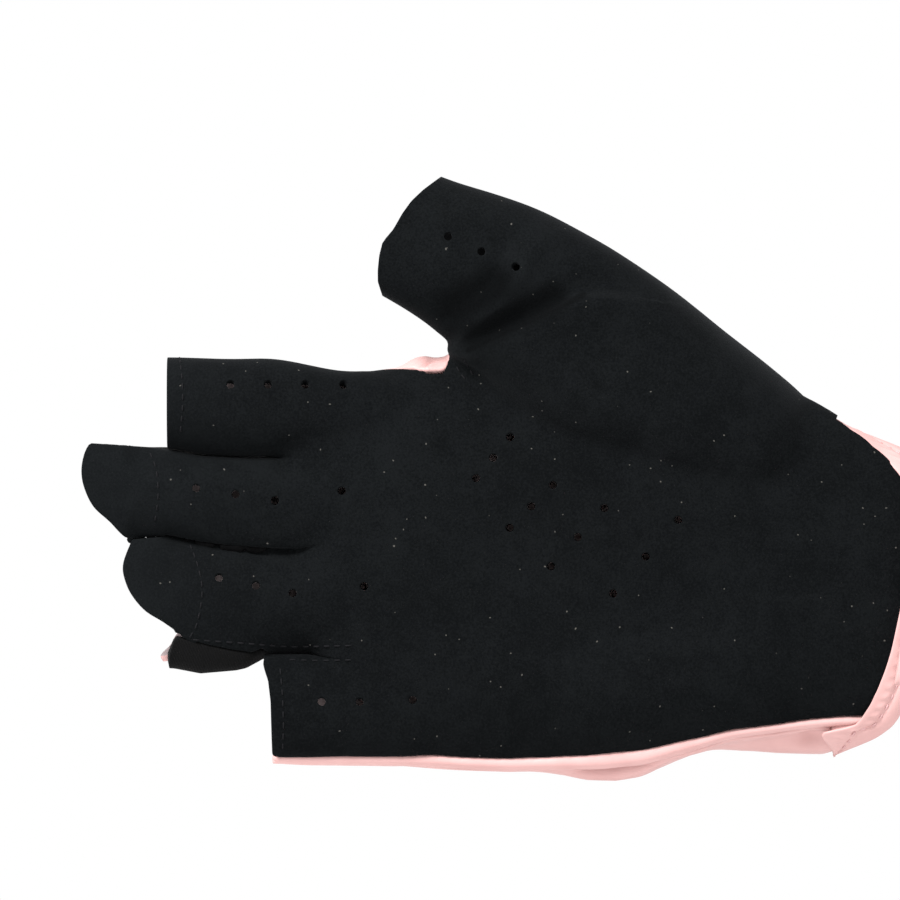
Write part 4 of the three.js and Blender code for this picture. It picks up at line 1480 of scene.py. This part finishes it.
def make_tab(name):
    """Lays a grid under a tongue, drops it on the skin and cuts it to the tongue's outline."""
    outline = TONGUE_PATHS[name]
    opening = STALLS[name]["opening"]
    xs = np.arange(outline[:, 0].min() - 1, opening + 4.5, TAB_PITCH)
    zs = np.arange(outline[:, 1].min() - 1, outline[:, 1].max() + 1, TAB_PITCH)
    places, outward = [], []
    for x in xs:
        for z in zs:
            place, normal = palm_front(x, z)
            if place is None:
                place, normal = Vector((x, FAR, z)), Vector((0, -1, 0))
            places.append(place)
            outward.append(normal)
    places, outward = np.array(places), np.array(outward)
    places[:, [0, 2]] = [(x, z) for x in xs for z in zs]
    facing = -outward[:, 1]
    outward = np.array([0.0, -1.0, 0.0]) + 0.5 * outward
    faces = []
    for i in range(len(xs) - 1):
        for j in range(len(zs) - 1):
            a = i * len(zs) + j
            faces.append((a, a + len(zs), a + len(zs) + 1, a + 1))

    def field(points):
        edge = inside_outline(points[:, 0], points[:, 2], outline) - TAB_INSET
        front = np.minimum(facing - TAB_FACING, 50 - points[:, 1]) * 2
        return np.minimum(np.minimum(edge, opening + TAB_INWARDS - points[:, 0]), front)

    table, cut = cut_out(places, np.hstack([places, outward]), faces, field)
    lower = table[:, 3:6] - table[:, 6:9] * (SUEDE_WALL + 0.06)
    points, faces = thicken(lower, table[:, 6:9], cut, TAB_WALL, 0.2, rows=4, squared=3.0)
    make_piece("tab_lining_" + name, points, faces, SUEDE, ["pull_tab_" + name])


make_tab("middle")
make_tab("ring")

# %% [markdown]
# ## The rolled strip
# Along the little finger side a strip of the pink leather is rolled over the seam. It is a swept
# oval that breathes a little in breadth, because leather rolled by hand is never quite even.

# %% Rolled strip
def outwards(points, faces):
    """Turns all faces over if the closed mesh is inside out."""
    total = 0.0
    for face in faces:
        for k in range(1, len(face) - 1):
            total += np.dot(points[face[0]], np.cross(points[face[k]], points[face[k + 1]]))
    return faces if total > 0 else [tuple(reversed(face)) for face in faces]


def sweep(rings):
    points = np.concatenate(rings)
    return points, outwards(points, tube_faces(len(rings), len(rings[0])))


def even_path(path, count):
    lengths = run_lengths(path)
    wanted = np.linspace(0, lengths[-1], count)
    return np.stack([np.interp(wanted, lengths, path[:, k]) for k in range(path.shape[1])], axis=1)


def slow_wave(x, seed):
    """A wave between -1 and 1 that hardly repeats. seed shifts it."""
    return (np.sin(x * 0.31 + seed) + np.sin(x * 0.173 + 2.1 * seed) + np.sin(x * 0.77 + 0.7 * seed)) / 3


def smooth_run(values, rounds=60):
    values = np.array(values, float)
    for _ in range(rounds):
        values[1:-1] = 0.25 * values[:-2] + 0.5 * values[1:-1] + 0.25 * values[2:]
    return values


def rounded_end(share, least):
    """From least up to 1 along a quarter circle, as share goes from 0 to 1."""
    return np.sqrt(np.clip(1 - (1 - np.clip(share, 0, 1)) ** 2, least, 1))


STRIP_RINGS, STRIP_SIDES = 260, 28


def make_strip():
    start, end = STRIP_LINE[0, 0], STRIP_LINE[-1, 0]
    xs = np.linspace(start, end, STRIP_RINGS)
    ys, zs, breadths = (smooth_run(values) for values in strip_at(xs))
    angles = full_turn(STRIP_SIDES)
    shrink = rounded_end(np.minimum(xs - start, 1.6 * (end - xs)) / 3.0, 0.04)
    rings = []
    for x, y, z, breadth, size in zip(xs, ys, zs, breadths, shrink):
        wide = breadth / 2 * (1 + 0.06 * slow_wave(x, 1.3)) * size
        deep = PIPING_DEPTH / 2 * (1 + 0.05 * slow_wave(x, 4.2)) * size
        pucker = 1 + 0.03 * np.sin(2 * np.pi * x / 2.4) * np.clip(np.sin(angles), 0, 1)
        ring_y, ring_z = y + deep * np.cos(angles) * pucker, z + wide * np.sin(angles) * pucker
        rings.append(np.stack([np.full(len(angles), x), ring_y, ring_z], axis=1))
    points, faces = sweep(rings)
    make_piece("rolled_strip", points, faces, LEATHER, ["side_piping"])


make_strip()

# %% [markdown]
# ## Wrist band and strap
# The band is turned over on itself and sewn down, which pulls small puckers along the stitches.
# Its cross-section is one closed curve that is taken round the wrist. The strap is a flat one
# with rounded edges that starts squared off on the palm and closes at the back of the wrist.

# %% Wrist band
# The band's cross-section: along from the heel to the rim, and out through its wall
BAND_OUTLINE = np.array([
    [0.10, 0.15], [0.09, 0.74], [-0.02, 0.86], [-0.04, 0.94], [0.02, 1.02], [0.24, 1.03], [0.50, 1.00],
    [0.75, 1.00], [0.95, 0.85], [1.00, 0.50], [0.94, 0.10], [0.80, 0.00], [0.45, 0.00], [0.12, 0.00],
])
BAND_STITCH = 0.47
STITCH_PITCH = 2.4
BAND_TURNS = 420


def band_section(along):
    return HEEL + along * (RIM - HEEL)


def band_rings():
    angles = full_turn(BAND_TURNS)
    middle = ring_points(band_section(0.5), angles, -BAND_PROUD)
    steps = np.linalg.norm(np.roll(middle, -1, axis=0) - middle, axis=1)
    run = np.concatenate([[0], np.cumsum(steps)[:-1]])
    stitches = round(steps.sum() / STITCH_PITCH)
    wave = np.cos(2 * np.pi * stitches * run / steps.sum())
    rings = []
    for along, out in rounded_path(BAND_OUTLINE, 5, closed=True):
        inset = BAND_WALL * (1 - out) - BAND_PROUD
        outer = max(0.0, (out - 0.6) / 0.4)
        groove = 0.42 * bell(along - BAND_STITCH, 0.07)
        pucker = 0.16 * bell(along - BAND_STITCH + 0.17, 0.11)
        soft = 0.10 * slow_wave(run, 2.0 + 3 * along)
        depth = outer * (groove + pucker * wave + soft)
        flat, deeper, seated = (ring_points(band_section(along), angles, i) for i in (inset, inset + 1, 0))
        ring = flat + (deeper - flat) * depth[:, None]
        ring[:, 0] += heel_step(seated[:, 2], along)
        rings.append(ring)
    return np.array(rings)


def make_band():
    rings = band_rings()
    rows, turns = rings.shape[:2]
    faces = []
    for i in range(rows):
        for j in range(turns):
            a, b = i * turns + j, i * turns + (j + 1) % turns
            c, d = (i + 1) % rows * turns + (j + 1) % turns, (i + 1) % rows * turns + j
            faces.append((a, b, c, d))
    points = rings.reshape(-1, 3)
    make_piece("stitched_band", points, outwards(points, faces), LEATHER, ["wrist_band"])


make_band()

# %% Closing strap
STRAP_EDGE = RIM.copy()
STRAP_EDGE[[UPPER_X, LOWER_X, BOW]] = [share * PALM_LENGTH for share in (-0.032, -0.060, 0.008)]
STRAP_TURNS, STRAP_ANGLES = 200, (-117, 124)
# The strap's cross-section: across it, and out through its wall
STRAP_OUTLINE = np.array([
    [0.00, 0.30], [0.00, 0.72], [0.05, 1.00], [0.35, 1.00], [0.65, 1.00], [0.95, 1.00], [1.00, 0.72],
    [1.00, 0.30], [0.95, 0.00], [0.65, 0.00], [0.35, 0.00], [0.05, 0.00],
])


def make_strap():
    far = shifted(STRAP_EDGE, STRAP_BREADTH)
    angles = np.radians(np.linspace(*STRAP_ANGLES, STRAP_TURNS))
    turns = np.arange(STRAP_TURNS)
    close = rounded_end(np.minimum(turns, turns[::-1]) / 4.0, 0.02)
    rows = []
    for across, out in rounded_path(STRAP_OUTLINE, 4, closed=True):
        section = STRAP_EDGE + across * (far - STRAP_EDGE)
        narrow = 0.5 + (out - 0.5) * close
        base = ring_points(section, angles, -STRAP_LIFT)
        lifted = ring_points(section, angles, -STRAP_LIFT - STRAP_WALL)
        ridge = 0.05 * bell(min(across, 1 - across) - 0.13, 0.02)
        share = narrow - ridge * (out > 0.9)
        row = base + (lifted - base) * share[:, None]
        row[:, 0] += heel_step(row[:, 2], 1.0)
        rows.append(row)
    points, faces = sweep(list(np.array(rows).transpose(1, 0, 2)))
    make_piece("closing_strap", points, faces, LEATHER, ["wrist_strap"])


make_strap()

# %% [markdown]
# ## Stitches
# Every stitch is a short piece of thread that dips into the leather at both ends. They are small
# closed capsules along a line on the surface, all of one colour joined in one piece.

# %% Thread along a line
STITCH_SIDES, STITCH_RINGS = 6, 7


def capsules(places, runs, ups, length, thick):
    """One closed capsule for each stitch, dipping in at both ends."""
    points, faces = [], []
    sides, rings = STITCH_SIDES, STITCH_RINGS
    for place, run, up in zip(places, runs, ups):
        run = run / np.linalg.norm(run)
        up = up - run * np.dot(up, run)
        up = up / np.linalg.norm(up)
        aside = np.cross(run, up)
        start = len(points)
        for i in range(rings):
            t = -1 + 2 * i / (rings - 1)
            radius = thick / 2 * math.sqrt(max(1 - t**4, 0.03))
            centre = place + run * (t * length / 2) + up * thick * (0.22 - 0.75 * t**4)
            for j in range(sides):
                angle = 2 * math.pi * j / sides
                points.append(centre + radius * (math.cos(angle) * up + math.sin(angle) * aside))
        for i in range(rings - 1):
            for j in range(sides):
                a, b = start + i * sides + j, start + i * sides + (j + 1) % sides
                faces.append((a, a + sides, b + sides, b))
        faces.append(tuple(start + j for j in range(sides)))
        faces.append(tuple(start + (rings - 1) * sides + j for j in reversed(range(sides))))
    return points, faces


def along_line(path, pitch):
    """The places of the stitches on a path, and their directions."""
    count = max(2, round(run_lengths(path)[-1] / pitch))
    line = even_path(path, 2 * count + 1)
    return line[1::2], line[2::2] - line[:-1:2]


def on_palm(path):
    """A line drawn on the palm side, from x and z."""
    found, ups = [], []
    for x, z in even_path(rounded_path(path, 8), 90):
        place, normal = palm_front(x, z)
        if place is not None:
            found.append(place)
            ups.append(normal)
    return np.array(found), np.array(ups)


# %% Stitch lines of the palm
# Each line runs through its points, x and z in millimetres
PALM_STITCHES = [
    [(-147.3, 47.0), (-146.6, 42.5), (-146.4, 37.0), (-146.9, 31.0)],
    [(-153.0, 27.6), (-151.6, 24.0), (-151.2, 19.0), (-151.9, 13.5)],
    [(-145.1, 9.5), (-143.4, 5.0), (-142.6, 0.0), (-143.6, -6.0), (-145.3, -9.2)],
    [(-127.4, -14.5), (-126.9, -20.0), (-126.7, -26.0), (-126.9, -31.0)],
    [(-144.9, -9.2), (-135.0, -9.9), (-125.0, -10.6), (-113.0, -10.4)],
    [(-126.0, -13.2), (-120.0, -13.4), (-113.0, -13.2)],
    [(-93.0, 44.5), (-92.0, 42.8), (-90.9, 41.4)],
    [(-91.5, 45.6), (-90.3, 43.9), (-89.4, 42.2)],
]


def stitch_piece(name, lines, pitch, length, thick, finish):
    points, faces = [], []
    for path, ups in lines:
        places, runs = along_line(path, pitch)
        nearest = [int(np.argmin(((path - place) ** 2).sum(axis=1))) for place in places]
        new_points, new_faces = capsules(places, runs, ups[nearest], length, thick)
        faces += [tuple(i + len(points) for i in face) for face in new_faces]
        points += new_points
    make_piece(name, points, faces, finish)


palm_lines = [on_palm(path) for path in PALM_STITCHES]
stitch_piece("palm_stitches", palm_lines, 2.2, 1.5, 0.36, BLACK_THREAD)


# %% Stitches of the band
def band_line():
    """The closed line of the band's seam, at the bottom of its groove, and the way out of it."""
    section, angles = band_section(BAND_STITCH), full_turn(900)
    surface, deeper = (ring_points(section, angles, inset) for inset in (-BAND_PROUD + 0.40, 1.0))
    ups = surface - deeper
    surface[:, 0] += heel_step(surface[:, 2], BAND_STITCH)
    return [np.vstack([rows, rows[:1]]) for rows in (surface, ups)]


stitch_piece("band_stitches", [band_line()], STITCH_PITCH, 1.55, 0.44, PINK_THREAD)
